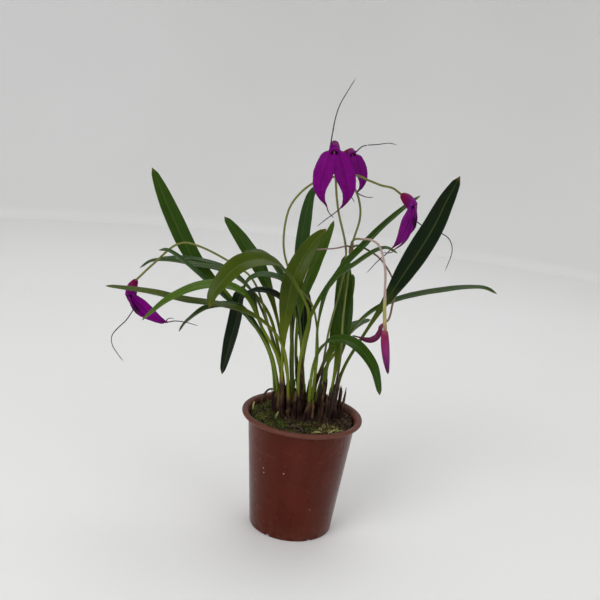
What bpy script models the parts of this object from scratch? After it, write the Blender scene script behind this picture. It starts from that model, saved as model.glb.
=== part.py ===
"""A masdevallia orchid growing in a small plastic nursery pot, modelled in metres with +Z up.

The pot's axis is Z and its foot stands on Z = 0. The plant faces -Y. Lengths in the tables
of routes are millimetres, which MM turns into metres where a route is used.
"""

import math

import bmesh
import bpy
import numpy as np
from mathutils import Matrix, Vector

MM = 0.001
GAP = 0.3 * MM

# Pot
RIM_RADIUS = 45 * MM
POT_HEIGHT = 90 * MM
RIM_HEIGHT = 3.4 * MM
BODY_RADIUS = 40 * MM
FOOT_RADIUS = 31 * MM
WALL = 1.2 * MM
POT_SIDES = 40
FLOOR_HEIGHT = 3 * MM
FLAT_RADIUS = 12 * MM
DRAIN_HOLES = 6
DRAIN_RADIUS = 3.2 * MM
DRAIN_CIRCLE = 19.5 * MM
NOTCH_RADIUS = 2 * MM

# Substrate and rhizome
SOIL_HEIGHT = 86 * MM
SOIL_RELIEF = 1.4 * MM
MAT_CENTRE = Vector((2.0, 7.5, 0.0)) * MM
MAT_HALF_LENGTH = 29 * MM
MAT_HALF_DEPTH = 20.5 * MM
MAT_BOTTOM = 76 * MM
MAT_TOP = 89.5 * MM

# Leaves
SHEATH_RADIUS = 1.75 * MM
SHEATH_LENGTH = 30 * MM
PETIOLE_RADIUS = 1.15 * MM
BLADE_THICKNESS = 1.2 * MM
TIP_WIDTH = 2.4 * MM

# Scapes and blooms
SCAPE_RADIUS = 0.8 * MM
TAIL_RADIUS = 0.45 * MM
SEPAL_THICKNESS = 0.9 * MM
SEPAL_SWEEP = 0.55

# Each leaf: route from its foot in the rhizome to its tip, width of the blade, share of
# the route that is petiole, and the direction in which the blade's width lies.
LEAVES = {
    "leaf_01": ([(-18, 15, 79), (-20, 15, 98), (-31, 17, 132), (-47, 19, 150), (-64, 23, 165),
                 (-94, 30, 189), (-115, 37, 220), (-134, 45, 253)], 14, 0.42, (0.7, 0.5, 0.4)),
    "leaf_02": ([(-8, 14, 79), (-11, 14, 98), (-19, 18, 128), (-29, 29, 156), (-43, 41, 182),
                 (-62, 52, 204), (-78, 60, 220)], 12, 0.45, (0.8, 0.4, 0.3)),
    "leaf_03": ([(-5, 8, 79), (-8, 8, 98), (-13, 10, 132), (-19, 18, 166), (-30, 24, 188),
                 (-44, 29, 200), (-58, 34, 200)], 12, 0.45, (0.2, 1.0, 0.1)),
    "leaf_04": ([(0, 0, 79), (-2, 0, 98), (-4, 1, 128), (-3, 1.5, 159), (-8, -2.5, 176),
                 (-29, -16, 202), (-52, -31, 203), (-67, -44, 186), (-70, -49, 174)], 15, 0.45,
                (-0.7, 0.5, 0.45)),
    "leaf_05": ([(-14, -6, 79), (-16, -6, 98), (-19, -4, 130), (-20, -1, 163), (-17, 3, 192),
                 (-7, 9, 215), (2, 12, 227)], 15, 0.35, (1.0, 0.0, -0.2)),
    "leaf_06": ([(-2, 14, 79), (-4, 14, 98), (-10, 16, 130), (-11, 22, 165), (-4, 28, 195),
                 (7, 36, 230)], 10, 0.4, (0.8, 0.6, 0.0)),
    "leaf_07": ([(-8, 21, 79), (-10, 21, 98), (-14, 25, 128), (-15, 38, 169), (-16, 52, 213),
                 (-14, 61, 240), (-9, 66, 252)], 12, 0.4, (0.8, 0.5, 0.0)),
    "leaf_08": ([(-3, -7, 79), (-4, -7, 98), (-6, -6, 130), (-1, -3, 167), (17, 1, 201),
                 (29, 4.5, 217), (46, 12.5, 237.5), (66.5, 21, 257.5)], 10, 0.3,
                (0.35, -0.9, -0.1)),
    "leaf_09": ([(6, 1, 79), (6, 1, 98), (6, -1, 128), (4, -7, 160), (9, -12, 191),
                 (26, -12.5, 209), (42, -14, 222), (53, -15, 220)], 9, 0.35, (0.1, -1.0, -0.15)),
    "leaf_10": ([(24, 2, 79), (23, 2, 98), (26, 0, 126), (38, -5, 157), (53, -11, 191),
                 (72.5, -18, 236), (80, -22, 260), (86, -25, 278)], 16, 0.4,
                (0.65, -0.3, -0.5)),
    "leaf_11": ([(8, 8, 79), (9, 8, 98), (14, 9, 125), (24, 10, 143), (37, 10, 165),
                 (58, 10, 180), (90, 11, 191), (118, 12, 197), (131, 12, 194)], 10, 0.3,
                (0.0, -1.0, -0.15)),
    "leaf_12": ([(5, -6, 79), (4, -6, 98), (4, -8, 128), (10, -14, 148), (21, -18, 154),
                 (33, -24, 152), (45, -32, 141), (52, -40, 124)], 10, 0.3, (-0.5, -0.7, -0.4)),
    "leaf_13": ([(-16, 8.5, 79), (-19, 9.5, 98), (-30, 13, 131), (-43, 16, 158), (-50, 17, 173),
                 (-56, 16, 168), (-57, 15, 150), (-64, 13, 107)], 13, 0.4, (-0.8, 0.6, 0.0)),
    "leaf_14": ([(-9, -4, 79), (-11, -5, 98), (-16, -6, 130), (-24, -8, 148), (-40, -11, 161),
                 (-59, -14, 167), (-90, -18, 169), (-120, -21, 173), (-147, -24, 175)], 11, 0.3,
                (0.0, 1.0, 0.15)),
    "leaf_15": ([(-13, 2, 79), (-15, 2, 98), (-22, 1, 128), (-35, 0, 149), (-52, -6, 176),
                 (-75, -17, 182), (-98, -34, 174), (-115, -48, 160)], 11, 0.35,
                (0.0, 1.0, 0.3)),
    "leaf_16": ([(-18, 1, 79), (-19, 1, 98), (-26, 0, 128), (-38, 0, 148), (-54, -2, 164),
                 (-75, -5, 163), (-90, -7, 152), (-96, -8, 143)], 9, 0.35, (0.0, 1.0, 0.25)),
    "leaf_17": ([(-21, 7, 79), (-22, 6, 98), (-28, 4.5, 128), (-44, 6, 152), (-66, 5, 169),
                 (-87, 0, 186), (-106, -4, 200), (-115, -6, 201)], 9, 0.4, (0.0, 1.0, 0.1)),
    "leaf_18": ([(-13, 14, 79), (-15, 14, 98), (-23, 17, 130), (-36, 21, 160), (-63, 19, 183),
                 (-96, 10, 190), (-120, 9, 190), (-131, 9, 183)], 9, 0.45, (0.0, 1.0, 0.05)),
    "leaf_19": ([(-13, 20, 79), (-16, 20.5, 98), (-26, 23, 130), (-45, 28, 166), (-68, 27, 185),
                 (-97, 20, 192), (-119, 19, 190)], 8, 0.45, (0.0, 1.0, 0.05)),
    "leaf_20": ([(1, 7, 79), (0, 7, 98), (-5, 8, 130), (-11, 10, 160), (-21, 11, 182),
                 (-36, 9, 188), (-49, 5, 185), (-54, 3, 175)], 10, 0.45, (0.0, 1.0, 0.2)),
    "leaf_21": ([(-7, 2, 79), (-9, 2, 98), (-12, 5, 130), (-16, 7, 159), (-27, 8, 173),
                 (-43, 5, 177), (-54, 4, 170)], 10, 0.45, (0.0, 1.0, 0.25)),
    "leaf_22": ([(19, 2, 79), (19, 2, 98), (21, 3, 130), (22, 7.5, 156), (20, 18, 185),
                 (18, 24, 207)], 14, 0.3, (1.0, 0.0, 0.0)),
    "leaf_23": ([(-2, 21, 79), (-3, 22, 98), (-5, 32, 130), (-9, 52, 158), (-13, 75, 172)],
                13, 0.35, (1.0, 0.1, 0.0)),
    "leaf_24": ([(12, 15, 79), (13, 16, 98), (16, 25, 130), (22, 44, 162), (27, 62, 186)],
                12, 0.35, (1.0, -0.2, 0.0)),
    "leaf_25": ([(5, 21, 79), (6, 22, 98), (13, 32, 122), (29, 53, 142), (46, 74, 148)],
                12, 0.35, (0.8, -0.6, 0.0)),
}

# Single-flowered scapes, from the foot in the rhizome to the ovary.
SCAPES = {
    "scape_a": [(11, 1, 79), (11, 2, 98), (12, 4, 148), (17, 8, 185), (18, 11, 212),
                (8.5, 2, 243), (4, -4, 266), (1.3, -4.6, 283.8)],
    "scape_c": [(5, 14, 79), (6, 14, 98), (6, 14, 135), (-1, 14, 167), (-16, 16, 183),
                (-27, 20, 205), (-28, 19, 230), (-22, 12, 247), (-8, 4, 261), (15, 2, 268),
                (28, 4, 265.3), (37, 7.2, 262.7), (45, 9.2, 261.6), (50.9, 9.9, 258.25)],
    "scape_d": [(-10, 8, 79), (-13, 8, 98), (-27, 9, 136), (-45, 14, 179), (-64, 18, 192),
                (-90, 15, 203), (-105, 10, 203), (-119, 2, 189), (-129, -3.6, 177.6)],
}

# The scape that carries several flowers in turn: its main stem ends in the bloom at the back.
CLUSTER_STEM = [(20, -5, 79), (21, -5, 98), (23, -4, 135), (21.5, 3, 165), (21.5, 11, 197),
                (21.5, 12.5, 216), (25, 14, 236), (23, 16, 249), (17, 22, 260), (10, 28.5, 270),
                (6.1, 33.1, 277.2)]
CLUSTER_NODE = (21.5, 12.5, 215)
BUD_BRANCH = [(21.5, 12.5, 215), (21.3, 8, 220), (23.5, 2, 223.5), (28, -5, 225), (34, -14, 226.5),
              (40, -21, 223), (45, -25, 209), (46.7, -25, 195)]
BUD_OVARY = [(46.7, -25, 196), (48.3, -25, 181), (50.5, -25, 167)]
FADED_BRANCH = [(21.5, 12.5, 215), (26, 14, 217), (33, 12.5, 215), (43, 5, 210.5), (52, 2, 200),
                (56.5, 0, 190), (55.3, -2, 180), (54.6, -5, 174), (53.4, -8.5, 170.4), (51.3, -11.2, 168.7)]
SPENT_BRANCH = [(21.5, 12.5, 215), (18, 6.5, 217), (10, 3, 215), (-3, 0, 213)]

# The closed bud and the faded flower: points of the route, each with a radius or a width.
BUD_ROUTE = [(50.6, -25, 166.5), (51, -25, 162), (52.2, -25, 155), (54.3, -25, 145),
             (56.8, -25, 135)]
BUD_RADII = [1.9, 2.7, 3.0, 2.4, 0.8]
FADED_ROUTE = [(50.6, -12, 168), (48.3, -12.5, 165), (47.7, -13, 161.3), (45.9, -13.5, 157.5),
               (42, -14, 155.3), (37.5, -14, 155.2), (34, -14, 156.2), (29, -14, 157)]
FADED_WIDTHS = [1.8, 3.0, 3.8, 4.2, 4.0, 2.8, 1.2, 0.9]

# Sepals in a bloom's own frame: across, up and out of the mouth, then the width there.
SPREAD = [(1.6, 1.5, -3.5, 4.6), (3.4, -1.0, 0.2, 11.2), (4.9, -6.5, 1.6, 14.8),
          (5.9, -10.5, 2.0, 16.2), (7.0, -14.5, 2.2, 16.4), (8.5, -19.5, 2.0, 14.0),
          (9.3, -25, 1.4, 10.4), (7.9, -31.5, -0.6, 5.6), (5.3, -36.2, -3.4, 1.9)]
CLOSE = [(1.6, 1.5, -3.5, 4.0), (2.0, -1.0, 0.2, 8.6), (2.5, -6.5, 1.6, 13.2),
         (3.0, -10.5, 2.0, 15.4), (3.5, -14.5, 2.2, 16.0), (4.0, -19.5, 2.0, 14.0),
         (4.2, -25, 1.4, 10.4), (3.6, -31.5, -0.6, 5.6), (2.5, -36.2, -3.4, 1.9)]
ERECT = [(0, 1.6, -3.5, 5.0), (-0.2, 2.9, -0.6, 5.8), (-1.2, 4.8, 0.6, 3.4), (-2.4, 6.6, 1.0, 1.5)]
LEANING = [(0, 1.6, -3.5, 5.0), (0.6, 2.8, -0.6, 5.8), (2.6, 3.8, 0.5, 3.4), (4.6, 5.0, 0.4, 1.5)]
HOODED = [(0, 1.6, -3.5, 5.0), (0, 2.2, 0.4, 6.4), (0, -0.5, 2.4, 5.4), (0, -4.5, 4.2, 3.4),
          (0, -8.6, 5.4, 1.5)]
TUBE = [(0, 0, 0.2, 4.1), (0, 1.9, -3.2, 3.9), (0, 4.0, -7.5, 3.5), (0, 5.2, -12.0, 2.9)]
DEEP_TUBE = [(0, 0, 0.2, 4.5), (0, 1.9, -3.2, 4.8), (0, 3.9, -7.2, 4.4), (0, 4.9, -10.5, 3.4)]
THROAT = [(0, -0.6, 1.6, 2.5), (0, 0.4, -0.6, 2.2), (0, 1.9, -3.2, 1.9), (0, 3.6, -6.8, 1.5)]
COLUMN = [(0, 3.3, -6.2, 0.7), (0, 1.8, -3.2, 0.9), (0, 0.7, -1.2, 0.6)]

# The open blooms: mouth of the tube, direction of the dorsal sepal, direction that the mouth
# faces, size, end of the ovary, dorsal sepal, lateral sepals, and tails of the dorsal, left and
# right sepals.
BLOOMS = {
    "bloom_a": ((1.3, -22, 283), (-0.1, 0, 1), (0, -1, 0), 1.0, (1.2, -4.9, 284.7), ERECT,
                SPREAD, [(-1.5, -19, 297), (-0.8, -18, 305.8), (1.1, -18, 314.7),
                         (4.9, -20, 323.6), (10, -24, 334)],
                [(2, -22, 243.5), (6, -23, 240)],
                [(6, -27, 244), (0, -27, 238.5), (-5, -26, 233)]),
    "bloom_b": ((14.6, 20, 280), (-0.12, 0.08, 0.98), (0.15, -0.98, 0.1), 0.72, (6.1, 33.4, 278.8),
                LEANING, SPREAD,
                [(20.3, 22.5, 287), (24.4, 25, 288.4), (31.7, 26, 289.7), (39.9, 26, 291.5),
                 (45.8, 25, 290.7)],
                [(18, 18, 250), (20, 18, 247)],
                [(24.5, 17, 253), (29, 14, 252.5), (33, 12, 253.5)]),
    "bloom_c": ((60.6, 4, 250.6), (0.2, 0, 0.98), (0.8, -0.55, -0.16), 0.9, (51.6, 10, 257.7),
                HOODED, CLOSE,
                [(67, 0, 239.5), (73, 0, 237), (82, 0, 235), (89, 0, 231), (92, 0, 222),
                 (89, 2, 206)],
                [(46, -4, 216.5), (40, -8, 211), (33, -12, 202)],
                [(50, 11, 215), (44, 13, 214)]),
    "bloom_d": ((-132, -9, 165.8), (-0.79, 0, 0.61), (-0.5, -0.75, -0.5), 0.88,
                (-129.8, -4, 176.3), HOODED, CLOSE,
                [(-129.5, -16.5, 154.5), (-132.5, -18, 149.3), (-138, -18, 143),
                 (-141.6, -18, 137), (-141, -18, 130.5), (-137, -17, 124), (-131.7, -16, 117.3)],
                [(-105, 1, 149.5), (-101, 2, 149.5)],
                [(-98, -12, 151.8), (-90, -13, 152), (-80.6, -14, 150.7)]),
}

# Leafless old sheaths on the rhizome: foot and tip.
OLD_SHEATHS = [((13, -6, 84), (14, -8, 116)), ((28, 6, 84), (31, 6, 110)), ((14, 8, 84), (16, 8, 120)),
               ((20, 10, 84), (23, 11, 113)), ((12, 22, 84), (14, 25, 115)),
               ((18, 17, 84), (21, 19, 108)), ((-6, -9, 84), (-7, -12, 110))]


def clear_scene():
    for thing in list(bpy.data.objects):
        bpy.data.objects.remove(thing, do_unlink=True)


def material(name, colour, roughness):
    made = bpy.data.materials.new(name)
    made.use_nodes = True
    shader = made.node_tree.nodes["Principled BSDF"]
    shader.inputs["Base Color"].default_value = (*colour, 1.0)
    shader.inputs["Roughness"].default_value = roughness
    return made


def solid(name, verts, faces, look=None, smooth=True):
    mesh = bpy.data.meshes.new(name)
    mesh.from_pydata([tuple(v) for v in verts], [], faces)
    bm = bmesh.new()
    bm.from_mesh(mesh)
    bmesh.ops.recalc_face_normals(bm, faces=bm.faces)
    bm.to_mesh(mesh)
    bm.free()
    for face in mesh.polygons:
        face.use_smooth = smooth
    made = bpy.data.objects.new(name, mesh)
    bpy.context.scene.collection.objects.link(made)
    if look:
        mesh.materials.append(look)
    return made


def cutter(thing):
    thing.hide_render = True
    thing.display_type = "WIRE"
    return thing


def combine(target, tools, operation, solver="EXACT"):
    """Applies one Boolean for each tool to the target, and removes the tools."""
    for tool in tools:
        step = target.modifiers.new("combine", "BOOLEAN")
        step.operation = operation
        step.solver = solver
        step.object = tool
        bpy.context.view_layer.update()
        shaped = bpy.data.meshes.new_from_object(
            target.evaluated_get(bpy.context.evaluated_depsgraph_get()))
        target.modifiers.remove(step)
        target.data = shaped
        bpy.data.objects.remove(tool, do_unlink=True)
    return target


def curve_point(points, index, share):
    """A point on the Catmull-Rom curve, between points[index] and the next."""
    last = len(points) - 1
    p1, p2 = points[index], points[index + 1]
    p0 = points[index - 1] if index > 0 else 2 * p1 - p2
    p3 = points[index + 2] if index + 2 <= last else 2 * p2 - p1
    even = 2 * p1 + (p2 - p0) * share
    odd = (2 * p0 - 5 * p1 + 4 * p2 - p3) * share ** 2
    cubic = (3 * p1 - p0 - 3 * p2 + p3) * share ** 3
    return 0.5 * (even + odd + cubic)


def smooth_route(points, straight_start=True, steps=24):
    """Dense points on the curve through a route's points, whose first stretch is straight."""
    first = 1 if straight_start else 0
    dense = [points[0]] if straight_start else []
    for index in range(first, len(points) - 1):
        dense += [curve_point(points, index, k / steps) for k in range(steps)]
    return np.array(dense + [points[-1]])


def along(dense, distances):
    """Places and directions on a dense route at the given distances from its start."""
    run = np.concatenate([[0.0], np.cumsum(np.linalg.norm(np.diff(dense, axis=0), axis=1))])
    reach = 1.5 * MM
    places, directions = [], []
    for distance in distances:
        here, back, ahead = (np.array([np.interp(np.clip(distance + shift, 0, run[-1]), run,
                                                 dense[:, axis]) for axis in range(3)])
                             for shift in (0, -reach, reach))
        places.append(Vector(here))
        directions.append(Vector(ahead - back).normalized())
    return places, directions, run[-1]


def loft(name, rings, look=None):
    """Joins rings with equal numbers of points into one closed solid."""
    sides = len(rings[0])
    verts = [point for ring in rings for point in ring]
    faces = []
    for row in range(len(rings) - 1):
        for k in range(sides):
            a, b = row * sides + k, row * sides + (k + 1) % sides
            faces.append((a, b, b + sides, a + sides))
    faces.append(tuple(range(sides))[::-1])
    faces.append(tuple(range(len(verts) - sides, len(verts))))
    return solid(name, verts, faces, look)


def tube(name, points, radii, sides=6, look=None, spacing=None, straight_start=False):
    """A round solid along a route. The radii are given for equal shares of the route."""
    dense = smooth_route(points, straight_start)
    length = np.linalg.norm(np.diff(dense, axis=0), axis=1).sum()
    count = max(len(radii), int(length / spacing) if spacing else 0)
    distances = list(np.linspace(0, length, count))
    if straight_start:
        foot = np.linalg.norm(points[1] - points[0])
        distances = [0.0, foot] + [d for d in distances if d > foot * 1.3]
    places, directions, length = along(dense, distances)
    shares = np.linspace(0, 1, len(radii))
    side = directions[0].orthogonal().normalized()
    rings = []
    for place, direction, distance in zip(places, directions, distances):
        side = (side - direction * side.dot(direction)).normalized()
        other = direction.cross(side)
        radius = float(np.interp(distance / length, shares, radii))
        angles = [2 * math.pi * k / sides for k in range(sides)]
        rings.append([place + radius * (math.cos(a) * side + math.sin(a) * other)
                      for a in angles])
    return loft(name, rings, look)


def blade_ring(place, direction, across, width, thickness, fold):
    """Six points of a blade's section: a shallow V whose groove is on the upper face."""
    across = (across - direction * across.dot(direction)).normalized()
    upper = across.cross(direction)
    half, thin = width / 2, min(thickness, width) / 2
    left = place - across * half + upper * fold * half
    right = place + across * half + upper * fold * half
    return [left + upper * thin, place + upper * thin, right + upper * thin,
            right - upper * thin, place - upper * thin, left - upper * thin]


def stalk_ring(place, direction, across, radius):
    """Six points round a stalk, in the order that blade_ring has them."""
    across = (across - direction * across.dot(direction)).normalized()
    upper = across.cross(direction)
    angles = [math.radians(a) for a in (150, 90, 30, -30, -90, -150)]
    return [place + radius * (math.cos(a) * across + math.sin(a) * upper) for a in angles]


def route_vectors(route):
    return np.array(route, dtype=float) * MM


def blade_width(share, width):
    """Width of a leaf blade: share runs from 0 at the petiole to 1 at the blunt tip."""
    if share < 0.55:
        grow = share / 0.55
        return 2 * PETIOLE_RADIUS + (width - 2 * PETIOLE_RADIUS) * grow * grow * (3 - 2 * grow)
    fall = (share - 0.55) / 0.45
    return TIP_WIDTH + (width - TIP_WIDTH) * (1 - fall ** 2.4)


def leaf(name, route, width, petiole, across, look):
    points = route_vectors(route)
    dense = smooth_route(points)
    foot = float(np.linalg.norm(points[1] - points[0]))
    length = along(dense, [0.0])[2]
    blade_start = length * petiole
    stalk = [(0.0, SHEATH_RADIUS), (foot, SHEATH_RADIUS), (SHEATH_LENGTH, SHEATH_RADIUS * 0.9),
             (SHEATH_LENGTH + 3 * MM, PETIOLE_RADIUS),
             ((SHEATH_LENGTH + 3 * MM + blade_start) / 2, PETIOLE_RADIUS),
             (blade_start, PETIOLE_RADIUS)]
    shares = [0.14, 0.28, 0.42, 0.56, 0.7, 0.82, 0.92, 1.0]
    blade = [(blade_start + (length - blade_start) * s, blade_width(s, width * MM))
             for s in shares]
    across = Vector(across)
    places, directions, length = along(dense, [d for d, _ in stalk + blade])
    rings = [stalk_ring(places[k], directions[k], across, radius)
             for k, (_, radius) in enumerate(stalk)]
    for k, (distance, wide) in enumerate(blade, len(stalk)):
        fold = 0.34 if wide > TIP_WIDTH * 1.5 else 0.15
        rings.append(blade_ring(places[k], directions[k], across, wide, BLADE_THICKNESS, fold))
    return loft(name, rings, look)


def scape(name, route, look, end_radius=SCAPE_RADIUS):
    points = route_vectors(route)
    radii = [SCAPE_RADIUS * 1.15, SCAPE_RADIUS, SCAPE_RADIUS, end_radius]
    return tube(name, points, radii, 6, look, spacing=9 * MM, straight_start=True)


def branch(route, radius):
    return tube("branch", route_vectors(route), [radius, radius], 6, spacing=6 * MM)


def flower_cluster(look):
    """The scape with several flowers is one body: a stem, a bract and three side stalks."""
    stem = scape("scape_b", CLUSTER_STEM, look)
    bract = tube("bract", route_vectors([(21.5, 12, 209), CLUSTER_NODE, (22, 12.8, 219)]),
                 [0.9 * MM, 1.7 * MM, 1.5 * MM, 0.9 * MM], 7)
    ovary = tube("ovary", route_vectors(BUD_OVARY), [0.85 * MM, 1.2 * MM, 1.3 * MM, 1.2 * MM], 7,
                 spacing=5 * MM)
    parts = [bract, branch(BUD_BRANCH, 0.85 * MM), ovary, branch(FADED_BRANCH, 0.7 * MM),
             branch(SPENT_BRANCH, 0.75 * MM)]
    return combine(stem, parts, "UNION")


def bloom_frame(mouth, up, out):
    """Matrix from a bloom's own axes (across, up, out of the mouth) to the object's."""
    up = Vector(up).normalized()
    out = Vector(out)
    out = (out - up * out.dot(up)).normalized()
    across = up.cross(out)
    turn = Matrix((across, up, out)).transposed().to_4x4()
    return Matrix.Translation(Vector(mouth) * MM) @ turn


def placed(frame, rows, size, mirror=1):
    points = [frame @ (Vector((mirror * row[0], row[1], row[2])) * size * MM) for row in rows]
    return np.array([tuple(p) for p in points]), [row[3] * size * MM for row in rows]


def sepal(frame, rows, size, tail, sweep, mirror=1):
    """One sepal: a convex blade, its outer side swept back, that narrows into a round tail."""
    points, widths = placed(frame, rows, size, mirror)
    tail_points = route_vectors(tail)
    route = np.vstack([points, tail_points])
    dense = smooth_route(route, False)
    turn = frame.to_3x3()
    across = turn @ Vector((1.0, 0.12 * mirror, -sweep * mirror))
    run = np.concatenate([[0.0], np.cumsum(np.linalg.norm(np.diff(dense, axis=0), axis=1))])
    knots = [run[24 * k] for k in range(len(points))]
    tail_length = run[-1] - knots[-1]
    count = max(3, int(tail_length / (8 * MM)) + 1)
    tail_stations = [knots[-1] + tail_length * (k + 1) / count for k in range(count)]
    middles = [(a + b) / 2 for a, b in zip(knots[1:5], knots[2:6])]
    blade_stations = sorted(knots + (middles if len(rows) > 5 else []))
    places, directions, _ = along(dense, blade_stations + tail_stations)
    rings = []
    for k, station in enumerate(blade_stations):
        wide = float(np.interp(station, knots, widths))
        rings.append(blade_ring(places[k], directions[k], across, wide, SEPAL_THICKNESS, -0.22))
    for k in range(len(blade_stations), len(places)):
        share = (k - len(blade_stations) + 1) / len(tail_stations)
        radius = TAIL_RADIUS * (1.15 - 0.35 * share)
        rings.append(stalk_ring(places[k], directions[k], across, radius))
    return loft("sepal", rings)


def bloom(name, mouth, up, out, size, ovary_end, dorsal, lateral, tails, look):
    """Three sepals joined into a tube, which narrows into the ovary at its back."""
    frame = bloom_frame(mouth, up, out)
    points, radii = placed(frame, DEEP_TUBE if lateral is CLOSE else TUBE, size)
    end = np.array(ovary_end) * MM
    neck = points[-1] * 0.45 + end * 0.55 + (points[-1] - points[-2]) * 0.12
    body = tube("body", np.vstack([points, neck, end]), radii + [2.4 * size * MM, 1.1 * MM],
                10, spacing=2.6 * MM)
    body.name = name
    dorsal_tail, left_tail, right_tail = tails
    parts = [sepal(frame, dorsal, size, dorsal_tail, 0.22),
             sepal(frame, lateral, size, right_tail, SEPAL_SWEEP),
             sepal(frame, lateral, size * 0.96, left_tail, SEPAL_SWEEP, mirror=-1)]
    combine(body, parts, "UNION", "MANIFOLD")
    throat, wide = placed(frame, THROAT, size)
    combine(body, [cutter(tube("throat", throat, wide, 8))], "DIFFERENCE", "MANIFOLD")
    body.data.materials.clear()
    body.data.materials.append(look)
    for face in body.data.polygons:
        face.use_smooth = True
    return body


def column_and_lip(name, mouth, up, out, size, look):
    frame = bloom_frame(mouth, up, out)
    points, radii = placed(frame, COLUMN, size)
    return tube(name, points, radii, 6, look)


def bud(name, look):
    points = route_vectors(BUD_ROUTE)
    return tube(name, points, [r * MM for r in BUD_RADII], 8, look, spacing=3.5 * MM)


def faded_flower(name, look):
    points = route_vectors(FADED_ROUTE)
    dense = smooth_route(points, False)
    run = np.concatenate([[0.0], np.cumsum(np.linalg.norm(np.diff(dense, axis=0), axis=1))])
    stations = [run[24 * k] for k in range(len(points))]
    places, directions, _ = along(dense, stations)
    across = Vector((-0.2, 0.35, 1.0))
    rings = [blade_ring(place, direction, across, wide * MM, 1.3 * MM, -0.3)
             for place, direction, wide in zip(places, directions, FADED_WIDTHS)]
    return loft(name, rings, look)


def turned(name, profile, sides, look=None):
    """A solid of revolution about Z from (radius, height) points that start and end on Z."""
    verts = [Vector((0, 0, profile[0][1]))]
    rings = profile[1:-1]
    for radius, height in rings:
        verts += [Vector((radius * math.cos(2 * math.pi * k / sides),
                          radius * math.sin(2 * math.pi * k / sides), height))
                  for k in range(sides)]
    verts.append(Vector((0, 0, profile[-1][1])))
    faces = [(0, 1 + (k + 1) % sides, 1 + k) for k in range(sides)]
    for row in range(len(rings) - 1):
        for k in range(sides):
            a, b = 1 + row * sides + k, 1 + row * sides + (k + 1) % sides
            faces.append((a, b, b + sides, a + sides))
    last, top = 1 + (len(rings) - 1) * sides, len(verts) - 1
    faces += [(last + k, last + (k + 1) % sides, top) for k in range(sides)]
    return solid(name, verts, faces, look)


def body_radius(height):
    return FOOT_RADIUS + (BODY_RADIUS - FOOT_RADIUS) * height / (POT_HEIGHT - RIM_HEIGHT)


def pot(look):
    shoulder = POT_HEIGHT - RIM_HEIGHT
    lip = 0.8 * MM
    profile = [(0, 0), (FLAT_RADIUS, 0), (FLAT_RADIUS + lip, 2 * MM),
               (FOOT_RADIUS - 3.3 * MM, 2 * MM), (FOOT_RADIUS - 2.5 * MM, 0),
               (FOOT_RADIUS - 0.5 * MM, 0), (FOOT_RADIUS + 0.1 * MM, lip),
               (BODY_RADIUS, shoulder), (RIM_RADIUS - 1.2 * MM, shoulder + 0.1 * MM),
               (RIM_RADIUS - 0.2 * MM, shoulder + 0.7 * MM), (RIM_RADIUS, shoulder + 1.5 * MM),
               (RIM_RADIUS - 0.3 * MM, POT_HEIGHT - lip), (RIM_RADIUS - 1.2 * MM, POT_HEIGHT),
               (RIM_RADIUS - 3 * MM, POT_HEIGHT), (RIM_RADIUS - 4 * MM, POT_HEIGHT - lip),
               (BODY_RADIUS - 0.4 * MM, shoulder + 1.4 * MM),
               (BODY_RADIUS - WALL, shoulder - 0.4 * MM),
               (body_radius(FLOOR_HEIGHT) - WALL, FLOOR_HEIGHT), (0, FLOOR_HEIGHT)]
    made = turned("pot", profile, POT_SIDES, look)
    cutters = []
    for k in range(DRAIN_HOLES):
        angle = 2 * math.pi * (k + 0.5) / DRAIN_HOLES
        x, y = DRAIN_CIRCLE * math.cos(angle), DRAIN_CIRCLE * math.sin(angle)
        ends = np.array([(x, y, 0.5 * MM), (x, y, 5 * MM)])
        cutters.append(cutter(tube("drain", ends, [DRAIN_RADIUS, DRAIN_RADIUS], 12)))
        angle = 2 * math.pi * k / DRAIN_HOLES
        out = Vector((math.cos(angle), math.sin(angle), 0))
        ends = np.array([tuple(out * (FOOT_RADIUS - 5 * MM)), tuple(out * (FOOT_RADIUS + 3 * MM))])
        cutters.append(cutter(tube("notch", ends, [NOTCH_RADIUS, NOTCH_RADIUS], 8)))
    combine(made, cutters, "DIFFERENCE")
    return made


def mat_profile(grow):
    """Half section of the rhizome mat as shares of its half length, with heights."""
    low, high = MAT_BOTTOM - grow, MAT_TOP + grow
    return [(0, low), (0.9, low), (1.0, low + 3 * MM), (1.0, 85 * MM + grow),
            (0.93, 87 * MM + grow), (0.6, high - 0.6 * MM), (0, high)]


def mat_solid(name, grow, look=None):
    """The mat's oval plan is a turned solid, stretched to its half length and half depth."""
    profile = [(share * MAT_HALF_LENGTH, height) for share, height in mat_profile(grow)]
    made = turned(name, profile, 28, look)
    stretch = (MAT_HALF_DEPTH + grow) / MAT_HALF_LENGTH
    wide = (MAT_HALF_LENGTH + grow) / MAT_HALF_LENGTH
    for vert in made.data.vertices:
        vert.co = (vert.co.x * wide + MAT_CENTRE.x, vert.co.y * stretch + MAT_CENTRE.y,
                   vert.co.z)
    return made


def stem_routes():
    """Foot and radius of each stem that stands in the rhizome."""
    feet = [(entry[0][0], entry[0][1], SHEATH_RADIUS) for entry in LEAVES.values()]
    feet += [(route[0], route[1], SCAPE_RADIUS * 1.15) for route in SCAPES.values()]
    feet.append((CLUSTER_STEM[0], CLUSTER_STEM[1], SCAPE_RADIUS * 1.15))
    return feet


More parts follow.
